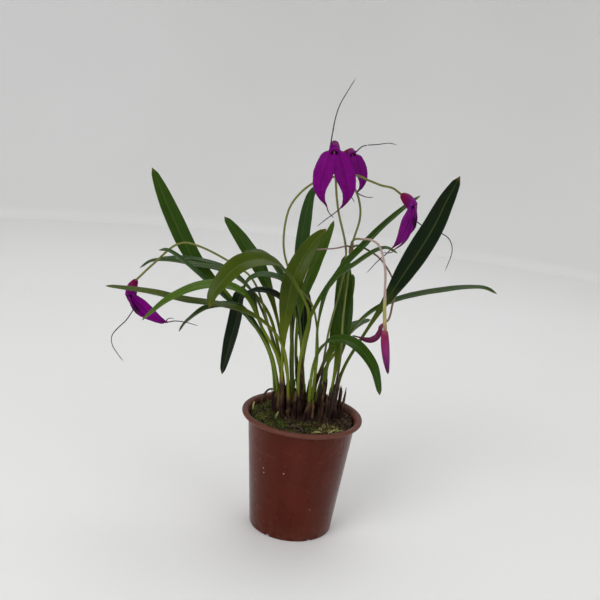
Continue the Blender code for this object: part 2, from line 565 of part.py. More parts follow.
def rhizome(look):
    made = mat_solid("rhizome", 0.0, look)
    stubs = []
    for foot, tip in OLD_SHEATHS:
        ends = route_vectors([foot, tip])
        stubs.append(tube("stub", ends, [1.3 * MM, 1.5 * MM, 1.1 * MM, 0.5 * MM], 5,
                          spacing=10 * MM))
    combine(made, stubs, "UNION")
    holes = []
    for foot, above, radius in stem_routes():
        ends = route_vectors([foot, above])
        way = (ends[1] - ends[0]) / np.linalg.norm(ends[1] - ends[0])
        ends[0] -= way * GAP
        room = (radius + GAP) / math.cos(math.pi / 8) + 0.05 * MM
        holes.append(cutter(tube("hole", ends, [room, room], 8)))
    return combine(made, holes, "DIFFERENCE")


def soil_height(radius, angle):
    """Height of the soil: a low mound with a few hand-made waves."""
    x, y = radius * math.cos(angle) / MM, radius * math.sin(angle) / MM
    waves = math.sin(0.31 * x + 0.8) * math.cos(0.27 * y) + 0.6 * math.sin(0.55 * y - 0.4 * x)
    return SOIL_HEIGHT + SOIL_RELIEF * 0.5 * waves


def substrate(look):
    low, edge = FLOOR_HEIGHT + GAP, SOIL_HEIGHT - 1.6 * MM
    sides, wide = POT_SIDES, body_radius(edge) - WALL - 2 * GAP
    side_rings = [(body_radius(low) - WALL - 2 * GAP, low), (wide, edge)]
    top_shares = [0.98, 0.86, 0.72, 0.56, 0.4, 0.22]
    verts = [Vector((0, 0, low))]
    angles = [2 * math.pi * k / sides for k in range(sides)]
    for radius, height in side_rings:
        verts += [Vector((radius * math.cos(a), radius * math.sin(a), height)) for a in angles]
    for share in top_shares:
        radius = wide * share
        lowest = edge + 0.5 * MM if share > 0.9 else 0.0
        for a in angles:
            height = max(soil_height(radius, a), lowest)
            verts.append(Vector((radius * math.cos(a), radius * math.sin(a), height)))
    verts.append(Vector((0, 0, soil_height(0, 0))))
    faces = [(0, 1 + (k + 1) % sides, 1 + k) for k in range(sides)]
    rows = len(side_rings) + len(top_shares)
    for row in range(rows - 1):
        for k in range(sides):
            a, b = 1 + row * sides + k, 1 + row * sides + (k + 1) % sides
            faces.append((a, b, b + sides, a + sides))
    last, top = 1 + (rows - 1) * sides, len(verts) - 1
    faces += [(last + k, last + (k + 1) % sides, top) for k in range(sides)]
    made = solid("substrate", verts, faces, look)
    return combine(made, [cutter(mat_solid("recess", 1.3 * GAP))], "DIFFERENCE")


def main():
    clear_scene()
    pot(material("pot_plastic", (0.08, 0.015, 0.008), 0.3))
    substrate(material("peat_and_bark", (0.02, 0.014, 0.009), 0.95))
    rhizome(material("dead_sheath", (0.045, 0.02, 0.012), 0.8))
    green = material("leaf_green", (0.045, 0.11, 0.015), 0.4)
    for name, (route, width, petiole, across) in LEAVES.items():
        leaf(name, route, width, petiole, across, green)
    stalk = material("scape_olive", (0.11, 0.12, 0.04), 0.5)
    for name, route in SCAPES.items():
        scape(name, route, stalk)
    flower_cluster(stalk)
    purple = material("sepal_purple", (0.17, 0.002, 0.17), 0.45)
    lip = material("lip_cream", (0.5, 0.25, 0.3), 0.5)
    for name, (mouth, up, out, size, ovary_end, dorsal, lateral, *tails) in BLOOMS.items():
        bloom(name, mouth, up, out, size, ovary_end, dorsal, lateral, tails, purple)
        column_and_lip(name.replace("bloom", "column"), mouth, up, out, size, lip)
    bud("bud_e", purple)
    faded_flower("bloom_f", purple)


main()
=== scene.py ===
"""A masdevallia orchid in a nursery pot: the finished pieces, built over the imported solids.

Lengths in the tables are millimetres, which MM turns into metres. The pot stands on Z = 0 with
its axis on Z, and the plant faces -Y.
"""

import math

import bmesh
import bpy
import numpy as np
from mathutils import Matrix, Vector, kdtree, noise


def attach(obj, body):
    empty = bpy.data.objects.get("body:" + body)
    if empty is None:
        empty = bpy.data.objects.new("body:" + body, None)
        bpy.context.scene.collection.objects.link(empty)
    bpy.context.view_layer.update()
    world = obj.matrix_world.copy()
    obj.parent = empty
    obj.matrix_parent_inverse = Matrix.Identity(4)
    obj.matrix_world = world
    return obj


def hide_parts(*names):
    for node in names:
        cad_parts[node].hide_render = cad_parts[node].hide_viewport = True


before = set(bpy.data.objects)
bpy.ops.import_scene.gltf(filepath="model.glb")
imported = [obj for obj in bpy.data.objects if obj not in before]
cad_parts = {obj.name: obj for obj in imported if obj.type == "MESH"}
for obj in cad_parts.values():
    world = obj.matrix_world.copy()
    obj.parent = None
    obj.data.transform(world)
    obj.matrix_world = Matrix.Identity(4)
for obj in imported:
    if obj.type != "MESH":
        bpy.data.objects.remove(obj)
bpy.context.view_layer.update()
MM = 0.001

# Studio: a pale floor that curves up all round, three soft lights and the camera, which stands
# 0.6 m in front, looks a little down on the plant and leans to the left.
FLOOR_RADIUS = 1.3
FLOOR_CURVE = 0.9
FLOOR_RISE = 2.2
CAMERA_PLACE = Vector((0.0, -0.606994, 0.322504))
CAMERA_AHEAD = Vector((-0.01770259, 0.97154177, -0.23620587))
CAMERA_RIGHT = Vector((0.9930907, 0.0444953, 0.10858652))
CAMERA_LENS = 51.883
FULL_TURN = 2 * math.pi

bpy.context.scene.view_settings.view_transform = "Standard"


class Wire:
    """A node's output. A sum written with wires adds maths nodes to their tree."""

    def __init__(self, socket):
        self.socket, self.tree = socket, socket.id_data

    def __add__(self, other):
        return maths("ADD", self, other)

    def __sub__(self, other):
        return maths("SUBTRACT", self, other)

    def __rsub__(self, other):
        return maths("SUBTRACT", other, self)

    def __mul__(self, other):
        return maths("MULTIPLY", self, other)

    def __truediv__(self, other):
        return maths("DIVIDE", self, other)

    def __pow__(self, other):
        return maths("POWER", self, other)

    def __abs__(self):
        return maths("ABSOLUTE", self)


def add_node(tree, kind, inputs=(), **settings):
    """Adds a node. A value is put on its input, and a wire is linked to it."""
    node = tree.nodes.new(kind)
    for name, value in settings.items():
        setattr(node, name, value)
    for name, value in dict(inputs).items():
        if isinstance(value, Wire):
            tree.links.new(value.socket, node.inputs[name])
        else:
            node.inputs[name].default_value = value
    return node


def wired(tree, kind, inputs=(), output=0, **settings):
    """Adds a node and gives the wire from one of its outputs."""
    return Wire(add_node(tree, kind, inputs, **settings).outputs[output])


def maths(operation, *values, clamp=False):
    tree = next(value.tree for value in values if isinstance(value, Wire))
    return wired(tree, "ShaderNodeMath", enumerate(values), operation=operation, use_clamp=clamp)


def srgb(red, green, blue):
    """A colour read as 0 to 255 on a screen, as the linear colour that a shader takes."""
    shares = [c / 255 for c in (red, green, blue)]
    return tuple(c / 12.92 if c <= 0.04045 else ((c + 0.055) / 1.055) ** 2.4 for c in shares)


def ramp(factor, *stops):
    """A colour ramp through (position, colour) stops."""
    node = add_node(factor.tree, "ShaderNodeValToRGB", {"Fac": factor})
    band = node.color_ramp
    band.elements[0].position, band.elements[1].position = stops[0][0], stops[-1][0]
    for place, colour in stops[1:-1]:
        band.elements.new(place)
    for element, (place, colour) in zip(band.elements, stops):
        element.color = (*colour, 1.0)
    return Wire(node.outputs["Color"])


def object_coordinates(tree, scale=(1, 1, 1)):
    place = wired(tree, "ShaderNodeTexCoord", output="Object")
    return wired(tree, "ShaderNodeMapping", {"Vector": place, "Scale": scale})


def noise_value(place, scale, detail=3.0, roughness=0.5):
    return wired(place.tree, "ShaderNodeTexNoise", {"Vector": place, "Scale": scale,
                                                    "Detail": detail, "Roughness": roughness})


def shader_of(name, **constants):
    """A new material, its node tree and its Principled shader with constant inputs set."""
    made = bpy.data.materials.new(name)
    made.use_nodes = True
    shader = made.node_tree.nodes["Principled BSDF"]
    for socket, value in constants.items():
        shader.inputs[socket.replace("_", " ")].default_value = value
    return made, made.node_tree, shader


def lay_on(node, **wires):
    """Links wires to a node's inputs, by name."""
    for label, wire in wires.items():
        wire.tree.links.new(wire.socket, node.inputs[label.replace("_", " ")])


def new_object(name, data):
    made = bpy.data.objects.new(name, data)
    bpy.context.scene.collection.objects.link(made)
    return made


def shaped(name, verts, faces, look=None):
    mesh = bpy.data.meshes.new(name)
    mesh.from_pydata([tuple(v) for v in verts], [], faces)
    mesh.validate()
    if look:
        mesh.materials.append(look)
    return new_object(name, mesh)


def angles_of(count):
    return [FULL_TURN * k / count for k in range(count)]


def ring_points(radius, height, around):
    return [(radius * math.cos(a), radius * math.sin(a), height) for a in angles_of(around)]


def ring_faces(rows, around):
    """Faces between rows of points that each run once round."""
    faces = []
    for row in range(rows - 1):
        for k in range(around):
            a, b = row * around + k, row * around + (k + 1) % around
            faces.append((a, b, b + around, a + around))
    return faces


def studio_floor():
    around, steps = 64, 12
    section = [(FLOOR_RADIUS, 0.0)]
    for turn in (math.pi / 2 * k / steps for k in range(1, steps + 1)):
        section.append((FLOOR_RADIUS + FLOOR_CURVE * math.sin(turn),
                        FLOOR_CURVE * (1 - math.cos(turn))))
    section.append((FLOOR_RADIUS + FLOOR_CURVE, FLOOR_RISE))
    verts = [point for radius, height in section for point in ring_points(radius, height, around)]
    look, tree, shader = shader_of("studio_paper", Roughness=0.9)
    grain = noise_value(object_coordinates(tree), 1.4, 2.0)
    lay_on(shader, Base_Color=ramp(grain, (0.3, srgb(243, 243, 242)), (0.7, srgb(247, 247, 247))))
    faces = [tuple(range(around))] + ring_faces(len(section), around)
    floor = shaped("studio_floor", verts, faces, look)
    for face in floor.data.polygons:
        face.use_smooth = face.index > 0


def soft_light(name, place, size, power):
    lamp = bpy.data.lights.new(name, "AREA")
    lamp.shape, lamp.size, lamp.energy = "DISK", size, power
    aim = Vector((0, 0, 0.17)) - Vector(place)
    turn = aim.to_track_quat("-Z", "Y").to_matrix().to_4x4()
    new_object(name, lamp).matrix_world = Matrix.Translation(place) @ turn


def camera():
    lens = bpy.data.cameras.new("camera")
    lens.lens, lens.sensor_width = CAMERA_LENS, 36.0
    made = new_object("camera", lens)
    up = CAMERA_RIGHT.cross(CAMERA_AHEAD)
    turn = Matrix((CAMERA_RIGHT, up, -CAMERA_AHEAD)).transposed().to_4x4()
    made.matrix_world = Matrix.Translation(CAMERA_PLACE) @ turn
    bpy.context.scene.camera = made


studio_floor()
camera()
soft_light("key_light", (-0.75, -1.05, 1.05), 0.9, 9.0)
soft_light("fill_light", (1.1, -0.7, 0.7), 1.1, 2.6)
soft_light("top_light", (0.1, 0.7, 1.5), 1.2, 6.0)
world = bpy.data.worlds.new("pale_room")
world.use_nodes = True
world.node_tree.nodes["Background"].inputs["Color"].default_value = (1.0, 1.0, 1.0, 1.0)
world.node_tree.nodes["Background"].inputs["Strength"].default_value = 0.4
bpy.context.scene.world = world

# Nursery pot: thin injection-moulded plastic, dark terracotta brown and glossy, with a rolled
# rim, small air notches in its foot ring and round drain holes in its floor.
RIM_RADIUS = 45.0
POT_HEIGHT = 90.0
RIM_HEIGHT = 3.4
BODY_RADIUS = 40.0
FOOT_RADIUS = 31.0
WALL = 1.2
FLOOR_HEIGHT = 3.0
SCUFF_HEIGHT = 66.0
DRAIN_RADIUS = 3.2
DRAIN_CIRCLE = 19.5
NOTCH_RADIUS = 2.0
POT_COLOUR = srgb(80, 24, 6)
RIM_COLOUR = srgb(108, 66, 54)


def blend_colour(factor, first, second, kind="MIX"):
    """Mixes two colours, each a wire or red, green and blue, by a wire."""
    first, second = (c if isinstance(c, Wire) else (*c, 1.0) for c in (first, second))
    node = add_node(factor.tree, "ShaderNodeMix", {"Factor": factor, "A": first, "B": second},
                    data_type="RGBA", blend_type=kind)
    return Wire(next(socket for socket in node.outputs if socket.type == "RGBA"))


def spread(value, low, high, to_low=0.0, to_high=1.0):
    """Stretches a value's range from low and high to new ends."""
    return wired(value.tree, "ShaderNodeMapRange", {"Value": value, "From Min": low,
                                                    "From Max": high, "To Min": to_low,
                                                    "To Max": to_high})


def bump(height, strength, distance, under=None):
    inputs = {"Height": height, "Strength": strength, "Distance": distance}
    if under:
        inputs["Normal"] = under
    return wired(height.tree, "ShaderNodeBump", inputs)


def dots(place, scale, edge, core, strength=1.0):
    """Scattered round dots: 0 outside them and the strength at their cores."""
    cells = wired(place.tree, "ShaderNodeTexVoronoi", {"Vector": place, "Scale": scale},
                  "Distance")
    return spread(cells, edge, core, 0.0, strength)


def split(vector):
    """The three wires of a vector."""
    node = add_node(vector.tree, "ShaderNodeSeparateXYZ", {0: vector})
    return [Wire(socket) for socket in node.outputs]


def vector_of(x=0.0, y=0.0, z=0.0):
    tree = next(value.tree for value in (x, y, z) if isinstance(value, Wire))
    return wired(tree, "ShaderNodeCombineXYZ", {"X": x, "Y": y, "Z": z})


def group_inputs(tree):
    """The wires of a tree's named inputs."""
    return {socket.name: Wire(socket) for socket in tree.nodes.new("NodeGroupInput").outputs}


def new_tree(name, **inputs):
    """A geometry tree with named inputs, and the wires from them."""
    tree = bpy.data.node_groups.new(name, "GeometryNodeTree")
    for label, kind in {"Geometry": "Geometry", **inputs}.items():
        tree.interface.new_socket(label.replace("_", " "), in_out="INPUT",
                                  socket_type="NodeSocket" + kind)
    tree.interface.new_socket("Geometry", in_out="OUTPUT", socket_type="NodeSocketGeometry")
    return tree, group_inputs(tree)


def give_out(geometry, material):
    """Ends a geometry tree: sets the material and hands the shape on."""
    dressed = wired(geometry.tree, "GeometryNodeSetMaterial", {"Geometry": geometry,
                                                               "Material": material})
    lay_on(geometry.tree.nodes.new("NodeGroupOutput"), Geometry=dressed)
    return geometry.tree


def unit_grid(tree, columns, rows):
    """A 1 m square grid, whose columns are then turned round and its rows drawn out."""
    return wired(tree, "GeometryNodeMeshGrid", {"Size X": 1.0, "Size Y": 1.0,
                                                "Vertices X": columns, "Vertices Y": rows})


def moved(geometry, label, value):
    return wired(geometry.tree, "GeometryNodeSetPosition", {"Geometry": geometry, label: value})


def grown(name, host, tree, **values):
    """Runs a geometry tree on a host mesh and keeps the result as a plain mesh piece."""
    holder = new_object(name + "_host", host)
    modifier = holder.modifiers.new("grow", "NODES")
    modifier.node_group = tree
    sockets = {item.name: item.identifier for item in tree.interface.items_tree
               if item.in_out == "INPUT"}
    for label, value in values.items():
        modifier[sockets[label.replace("_", " ")]] = value
    result = holder.evaluated_get(bpy.context.evaluated_depsgraph_get())
    mesh = bpy.data.meshes.new_from_object(result)
    holder.modifiers.remove(modifier)
    bpy.data.objects.remove(holder)
    mesh.name = name
    return new_object(name, mesh)


def mark(mesh, label, numbers, kind="FLOAT", field="value"):
    """Writes a named number, or vector, on each point of a mesh."""
    mesh.attributes.new(label, kind, "POINT").data.foreach_set(field, list(numbers))


def line_mesh(name, points, **values):
    """A mesh of one open line, with a number on each of its points for each extra list."""
    mesh = bpy.data.meshes.new(name)
    mesh.from_pydata([tuple(p) for p in points], [(k, k + 1) for k in range(len(points) - 1)], [])
    for label, numbers in values.items():
        mark(mesh, label, numbers)
    return mesh


def finish_piece(piece, nodes=(), crease=None):
    """Turns the faces out, shades them smooth and hands the piece to the frame."""
    bm = bmesh.new()
    bm.from_mesh(piece.data)
    bmesh.ops.recalc_face_normals(bm, faces=bm.faces)
    if crease:
        for edge in bm.edges:
            edge.smooth = edge.is_manifold and edge.calc_face_angle() < math.radians(crease)
    bm.to_mesh(piece.data)
    bm.free()
    piece.data.polygons.foreach_set("use_smooth", [True] * len(piece.data.polygons))
    if nodes:
        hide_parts(*nodes)
    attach(piece, "root")


def rounded(corners, radius, steps=4):
    """Rounds each inner corner of an open outline, in (radius, height) points."""
    points = [Vector(c) for c in corners]
    path = [points[0]]
    for before, here, after in zip(points, points[1:], points[2:]):
        cut = min(radius, (before - here).length * 0.45, (after - here).length * 0.45)
        start = here + (before - here).normalized() * cut
        end = here + (after - here).normalized() * cut
        for t in (k / steps for k in range(steps + 1)):
            path.append(start * (1 - t) ** 2 + here * 2 * t * (1 - t) + end * t * t)
    return path + [points[-1]]


def turned_tree():
    """Turns an open outline about Z, then cuts drain holes and foot notches out of it."""
    tree, get = new_tree("turned_pot", Sides="Int", Rows="Int", Drain_radius="Float",
                         Drain_circle="Float", Notch_radius="Float", Foot_radius="Float",
                         Material="Material")
    grid = unit_grid(tree, get["Sides"] + 1.0, get["Rows"])
    place = wired(tree, "GeometryNodeInputPosition")
    x, y, _ = split(place)
    angle = (x + 0.5) * FULL_TURN
    row = maths("ROUND", (y + 0.5) * (get["Rows"] - 1.0))
    radius, _, height = split(wired(tree, "GeometryNodeSampleIndex",
                                    {"Geometry": get["Geometry"], "Value": place, "Index": row},
                                    data_type="FLOAT_VECTOR"))
    turned = vector_of(radius * maths("COSINE", angle), radius * maths("SINE", angle), height)
    closed = wired(tree, "GeometryNodeMergeByDistance",
                   {"Geometry": moved(grid, "Position", turned), "Distance": 0.00001})
    tools = tree.nodes.new("GeometryNodeJoinGeometry")
    for radius, ring, length, lying, shift in (
            (get["Drain radius"], get["Drain circle"], 0.012, False, math.pi / 6),
            (get["Notch radius"], get["Foot radius"], 0.009, True, 0.0)):
        rod = wired(tree, "GeometryNodeMeshCylinder", {"Vertices": 32, "Radius": radius,
                                                       "Depth": length}, "Mesh")
        if lying:
            rod = wired(tree, "GeometryNodeTransform", {"Geometry": rod,
                                                        "Rotation": (0, math.pi / 2, 0)})
        spots = wired(tree, "GeometryNodeMeshCircle", {"Vertices": 6, "Radius": ring})
        spots = wired(tree, "GeometryNodeTransform", {"Geometry": spots,
                                                      "Rotation": (0, 0, shift)})
        x, y, _ = split(wired(tree, "GeometryNodeInputPosition"))
        facing = vector_of(z=maths("ARCTAN2", y, x))
        lay_on(tools, Geometry=wired(tree, "GeometryNodeInstanceOnPoints",
                                     {"Points": spots, "Instance": rod, "Rotation": facing}))
    rods = wired(tree, "GeometryNodeRealizeInstances", {0: Wire(tools.outputs[0])})
    cut = wired(tree, "GeometryNodeMeshBoolean", {"Mesh 1": closed, "Mesh 2": rods}, "Mesh",
                operation="DIFFERENCE", solver="EXACT")
    smooth = wired(tree, "GeometryNodeSetShadeSmooth", {"Geometry": cut, "Shade Smooth": True})
    return give_out(smooth, get["Material"])


def pot_plastic():
    """Glossy plastic: scuff line, white lime specks, rim dust, rubbed patches, painted reflections.
    """
    look, tree, shader = shader_of("pot_plastic", Specular_IOR_Level=0.15, Coat_Weight=0.02,
                                   Coat_Roughness=0.1)
    place = object_coordinates(tree)
    height = split(place)[2]
    cloud = noise_value(place, 45.0, 4.0)
    # Soft vertical bands of lighter colour on the wall: painted reflections of the glossy plastic.
    painted_reflection_streaks = noise_value(object_coordinates(tree, (90, 90, 6)), 1.0)
    body = blend_colour(spread(cloud, 0.3, 0.7), tuple(c * 0.82 for c in POT_COLOUR),
                        tuple(c * 1.12 for c in POT_COLOUR))
    body = blend_colour(spread(painted_reflection_streaks, 0.45, 0.75, 0.0, 0.25), body, srgb(98, 46, 34))
    dust = noise_value(place, 160.0, 5.0, 0.65)
    rim = spread(height, (POT_HEIGHT - 3.8) * MM, (POT_HEIGHT - 2.2) * MM, 0.0, 0.85)
    rim = rim * spread(dust, 0.25, 0.6, 0.6, 1.0)
    body = blend_colour(rim, body, RIM_COLOUR)
    low = spread(height, 14 * MM, 0.0, 0.0, 0.55) * spread(dust, 0.4, 0.7)
    body = blend_colour(low, body, srgb(116, 80, 64))
    speck = dots(place, 210.0, 0.11, 0.07) * spread(noise_value(place, 70.0, 1.0), 0.6, 0.68)
    body = blend_colour(speck, body, srgb(205, 190, 180))
    scuff = spread(abs(height - SCUFF_HEIGHT * MM), 0.35 * MM, 0.05 * MM, 0.0, 0.3)
    scuff = scuff * spread(noise_value(place, 110.0), 0.5, 0.62)
    body = blend_colour(scuff, body, srgb(140, 96, 80))
    waves = noise_value(object_coordinates(tree, (30, 30, 9)), 1.0, 2.0)
    lay_on(shader, Base_Color=body, Roughness=spread(cloud, 0.3, 0.7, 0.2, 0.34) + rim * 0.25,
           Normal=bump(waves, 0.35, 0.0006, bump(noise_value(place, 900.0, 2.0), 0.12, 0.0002)))
    return look


def nursery_pot():
    shoulder = POT_HEIGHT - RIM_HEIGHT
    slope = (BODY_RADIUS - FOOT_RADIUS) / shoulder
    scuffed = FOOT_RADIUS + slope * SCUFF_HEIGHT
    corners = [(0, 0), (12.0, 0), (12.8, 2.0), (FOOT_RADIUS - 3.3, 2.0),
               (FOOT_RADIUS - 2.5, 0), (FOOT_RADIUS + 0.05, 0), (scuffed, SCUFF_HEIGHT),
               (scuffed + 0.12, SCUFF_HEIGHT + 0.25),
               (BODY_RADIUS, shoulder), (RIM_RADIUS - 0.8, shoulder + 0.1),
               (RIM_RADIUS, shoulder + 1.6), (RIM_RADIUS - 0.5, POT_HEIGHT - 0.3),
               (RIM_RADIUS - 2.1, POT_HEIGHT), (RIM_RADIUS - 4.1, POT_HEIGHT - 0.5),
               (BODY_RADIUS - 0.2, shoulder + 1.4), (BODY_RADIUS - WALL, shoulder - 0.8),
               (FOOT_RADIUS + slope * FLOOR_HEIGHT - WALL, FLOOR_HEIGHT), (0, FLOOR_HEIGHT)]
    path = rounded(corners, 0.9)
    outline = line_mesh("pot_outline", [(r * MM, 0, z * MM) for r, z in path])
    piece = grown("nursery_pot", outline, turned_tree(), Sides=160, Rows=len(path),
                  Drain_radius=DRAIN_RADIUS * MM, Drain_circle=DRAIN_CIRCLE * MM,
                  Notch_radius=NOTCH_RADIUS * MM, Foot_radius=FOOT_RADIUS * MM,
                  Material=pot_plastic())
    finish_piece(piece, ["pot"], crease=40)


nursery_pot()

# Potting mix: damp dark bark, peat and fibre, filled to just below the rim. The bed is one
# mound, shaped by a few waves and finer lumps; chips, crumbs and fibres lie loose on it.
SOIL_HEIGHT = 86.0
SOIL_RELIEF = 1.4
SOIL_EDGE = 84.9
BED_RADIUS = 38.0
BED_SIDE = [(29.6, 3.3), (37.9, 84.3)]
BED_ROUND = 120
BED_STEPS = 40
OPEN_RADIUS = 37.0
PEAT, PEAT_DARK, BARK = srgb(27, 20, 14), srgb(8, 6, 5), srgb(58, 42, 28)
# Where the rhizome's mat of fibre lies on the bed.
MAT_CENTRE = (2.0, 7.5)
MAT_HALF_LENGTH = 29.0
MAT_HALF_DEPTH = 20.5


def soil_height(x, y):
    """Height of the bed: the waves of the mound and the lumps of the mix, in millimetres."""
    waves = math.sin(0.31 * x + 0.8) * math.cos(0.27 * y) + 0.6 * math.sin(0.55 * y - 0.4 * x)
    lumps = noise.fractal(Vector((x / 2.6, y / 2.6, 3.0)), 0.9, 2.0, 4)
    return SOIL_HEIGHT + SOIL_RELIEF * 0.5 * waves + 0.75 * lumps


def bed_top():
    """Rings of points over the top of the bed, from its edge inwards."""
    rows = []
    for step in range(BED_STEPS):
        ring = ring_points(BED_RADIUS * (1 - step / BED_STEPS), 0.0, BED_ROUND)
        lowest = 0.0 if step else SOIL_EDGE
        rows.append([(x, y, max(soil_height(x, y), lowest)) for x, y, _ in ring])
    return rows


def mix_look(name, light, middle, dark, scale=520.0, roughness=0.9):
    """Broken organic matter: dark grain in three tones, with a rough broken relief."""
    look, tree, shader = shader_of(name, Specular_IOR_Level=0.2)
    coarse = noise_value(object_coordinates(tree), scale * 0.5, 5.0, 0.65)
    fine = noise_value(object_coordinates(tree, (1.0, 1.0, 0.4)), scale * 3)
    colour = ramp(coarse, (0.36, dark), (0.5, middle), (0.68, light))
    colour = blend_colour(spread(fine, 0.4, 0.65, 0.0, 0.6), colour, (0.55, 0.5, 0.45),
                          "MULTIPLY")
    lay_on(shader, Base_Color=colour,
           Roughness=spread(coarse, 0.3, 0.7, roughness - 0.15, roughness),
           Normal=bump(fine, 0.5, 0.0003, bump(coarse, 0.7, 0.0009)))
    return look


def mounded(name, rings, peak, look):
    """A closed solid through rings of points in mm, from its flat base up to its peak."""
    around = len(rings[0])
    verts = [tuple(c * MM for c in point) for point in (*sum(rings, []), peak)]
    top = len(verts) - 1
    last = top - around
    faces = ring_faces(len(rings), around) + [tuple(range(around))]
    faces += [(last + k, last + (k + 1) % around, top) for k in range(around)]
    return shaped(name, verts, faces, look)


def patch(name, wanted):
    """The part of the bed's top whose faces pass the test, as ground for loose matter."""
    verts = [tuple(c * MM for c in point) for ring in BED_TOP for point in ring]
    faces = []
    for face in ring_faces(len(BED_TOP), BED_ROUND):
        x, y = (sum(verts[k][axis] for k in face) / 4 / MM for axis in range(2))
        if wanted(x, y):
            faces.append(face)
    mesh = bpy.data.meshes.new(name)
    mesh.from_pydata(verts, [], faces)
    return mesh


def scatter_tree():
    """Shapes from a collection, strewn over the host faces with random turn, tilt and size."""
    tree, get = new_tree("strewn_bits", Spacing="Float", Density="Float", Smallest="Float",
                         Largest="Float", Tilt="Float", Kinds="Int", Seed="Int",
                         Shapes="Collection", Material="Material")
    seed, tilt = get["Seed"], get["Tilt"]

    def random(output, kind, low, high):
        first = {"FLOAT_VECTOR": 0, "FLOAT": 2, "INT": 4}[kind]
        return wired(tree, "FunctionNodeRandomValue", {first: low, first + 1: high, "Seed": seed},
                     output, data_type=kind)

    spots = wired(tree, "GeometryNodeDistributePointsOnFaces",
                  {"Mesh": get["Geometry"], "Distance Min": get["Spacing"],
                   "Density Max": get["Density"], "Seed": seed}, "Points",
                  distribute_method="POISSON")
    shapes = wired(tree, "GeometryNodeCollectionInfo",
                   {"Collection": get["Shapes"], "Separate Children": True,
                    "Reset Children": True})
    back = tilt * -1.0
    turn = random(0, "FLOAT_VECTOR", vector_of(back, back), vector_of(tilt, tilt, FULL_TURN))
    size = random(1, "FLOAT", get["Smallest"], get["Largest"])
    kind = random(2, "INT", 0, get["Kinds"])
    bits = wired(tree, "GeometryNodeInstanceOnPoints",
                 {"Points": spots, "Instance": shapes, "Pick Instance": True,
                  "Instance Index": kind, "Rotation": turn, "Scale": size})
    return give_out(wired(tree, "GeometryNodeRealizeInstances", {0: bits}), get["Material"])


def strewn(name, ground, shapes, look, spacing, sizes, tilt, seed):
    """Scatters one kind of loose matter over a patch of ground, as one piece."""
    store = bpy.data.collections.new(name + "_shapes")
    for shape in shapes:
        bpy.context.scene.collection.objects.unlink(shape)
        store.objects.link(shape)
    piece = grown(name, ground, SCATTER_TREE, Spacing=spacing * MM, Density=4.0e6,
                  Smallest=sizes[0], Largest=sizes[1], Tilt=tilt, Kinds=len(shapes) - 1,
                  Seed=seed, Shapes=store, Material=look)
    for shape in shapes:
        bpy.data.objects.remove(shape)
    bpy.data.collections.remove(store)
    finish_piece(piece, crease=35)


def chip(seed, lengths):
    """A broken chip: the hull of a few seeded points in a flat box, about 1 mm long."""
    draw = np.random.default_rng(seed)
    bm = bmesh.new()
    for point in draw.uniform(-0.5, 0.5, (11, 3)) * lengths:
        bm.verts.new(point * MM)
    bmesh.ops.convex_hull(bm, input=bm.verts)
    inside = [v for v in bm.verts if not v.link_faces]
    bmesh.ops.delete(bm, geom=inside, context="VERTS")
    mesh = bpy.data.meshes.new("chip")
    bm.to_mesh(mesh)
    bm.free()
    return new_object("chip", mesh)


def ring_loft(rings):
    """Vertices and faces of a closed solid through rings with equal numbers of points."""
    sides = len(rings[0])
    verts = [point for ring in rings for point in ring]
    ends = [tuple(range(sides))[::-1], tuple(range(len(verts) - sides, len(verts)))]
    return verts, ring_faces(len(rings), sides) + ends


def strand(seed, length, radius, bend, curl, sides=3, steps=7):
    """A thin tapered strand about a seeded bent line that starts upright at the origin."""
    draw = np.random.default_rng(seed)
    lean, twist = draw.uniform(0.1, 0.4), draw.uniform(-1, 1) * curl
    place, heading = Vector((0, 0, -0.3 * MM)), draw.uniform(0, FULL_TURN)
    rings = []
    for step in range(steps):
        direction = Vector((math.sin(lean) * math.cos(heading),
                            math.sin(lean) * math.sin(heading), math.cos(lean)))
        side = direction.orthogonal().normalized()
        other = direction.cross(side)
        thin = radius * (1 - 0.75 * (step / (steps - 1))) * MM
        rings.append([place + (side * math.cos(a) + other * math.sin(a)) * thin
                      for a in angles_of(sides)])
        place = place + direction * (length / (steps - 1)) * MM
        lean += bend / steps * draw.uniform(0.5, 1.5)
        heading += twist * 2 / steps
    return shaped("strand", *ring_loft(rings))


def outside_rhizome(x, y, margin=1.0):
    return (((x - MAT_CENTRE[0]) / (MAT_HALF_LENGTH * margin)) ** 2
            + ((y - MAT_CENTRE[1]) / (MAT_HALF_DEPTH * margin)) ** 2) > 1


SCATTER_TREE = scatter_tree()
BED_TOP = bed_top()
bed = mounded("potting_bed", [ring_points(*row, BED_ROUND) for row in BED_SIDE] + BED_TOP,
              (0, 0, soil_height(0, 0)), mix_look("peat_and_bark", BARK, PEAT, PEAT_DARK))
finish_piece(bed, ["substrate"])
open_ground = patch("open_ground", lambda x, y: outside_rhizome(x, y, 0.93)
                    and math.hypot(x, y) < OPEN_RADIUS)
strewn("bark_chips", open_ground.copy(), [chip(k, (1.0, 0.62, 0.34)) for k in range(5)],
       mix_look("bark_chip", srgb(136, 106, 76), srgb(66, 46, 30), srgb(18, 13, 9), 420.0, 0.75),
       spacing=1.7, sizes=(1.4, 3.8), tilt=0.5, seed=3)
strewn("peat_crumbs", open_ground.copy(), [chip(20 + k, (0.9, 0.8, 0.7)) for k in range(3)],
       mix_look("peat_crumb", srgb(52, 38, 26), srgb(24, 18, 12), srgb(7, 6, 4), 900.0),
       spacing=0.85, sizes=(0.6, 1.5), tilt=3.0, seed=5)
strewn("root_threads", open_ground, [strand(40 + k, 7.0, 0.16, 2.0, 2.5) for k in range(4)],
       mix_look("root_thread", srgb(186, 168, 128), srgb(128, 106, 74), srgb(48, 36, 24), 500.0),
       spacing=2.3, sizes=(0.5, 1.1), tilt=1.5, seed=7)

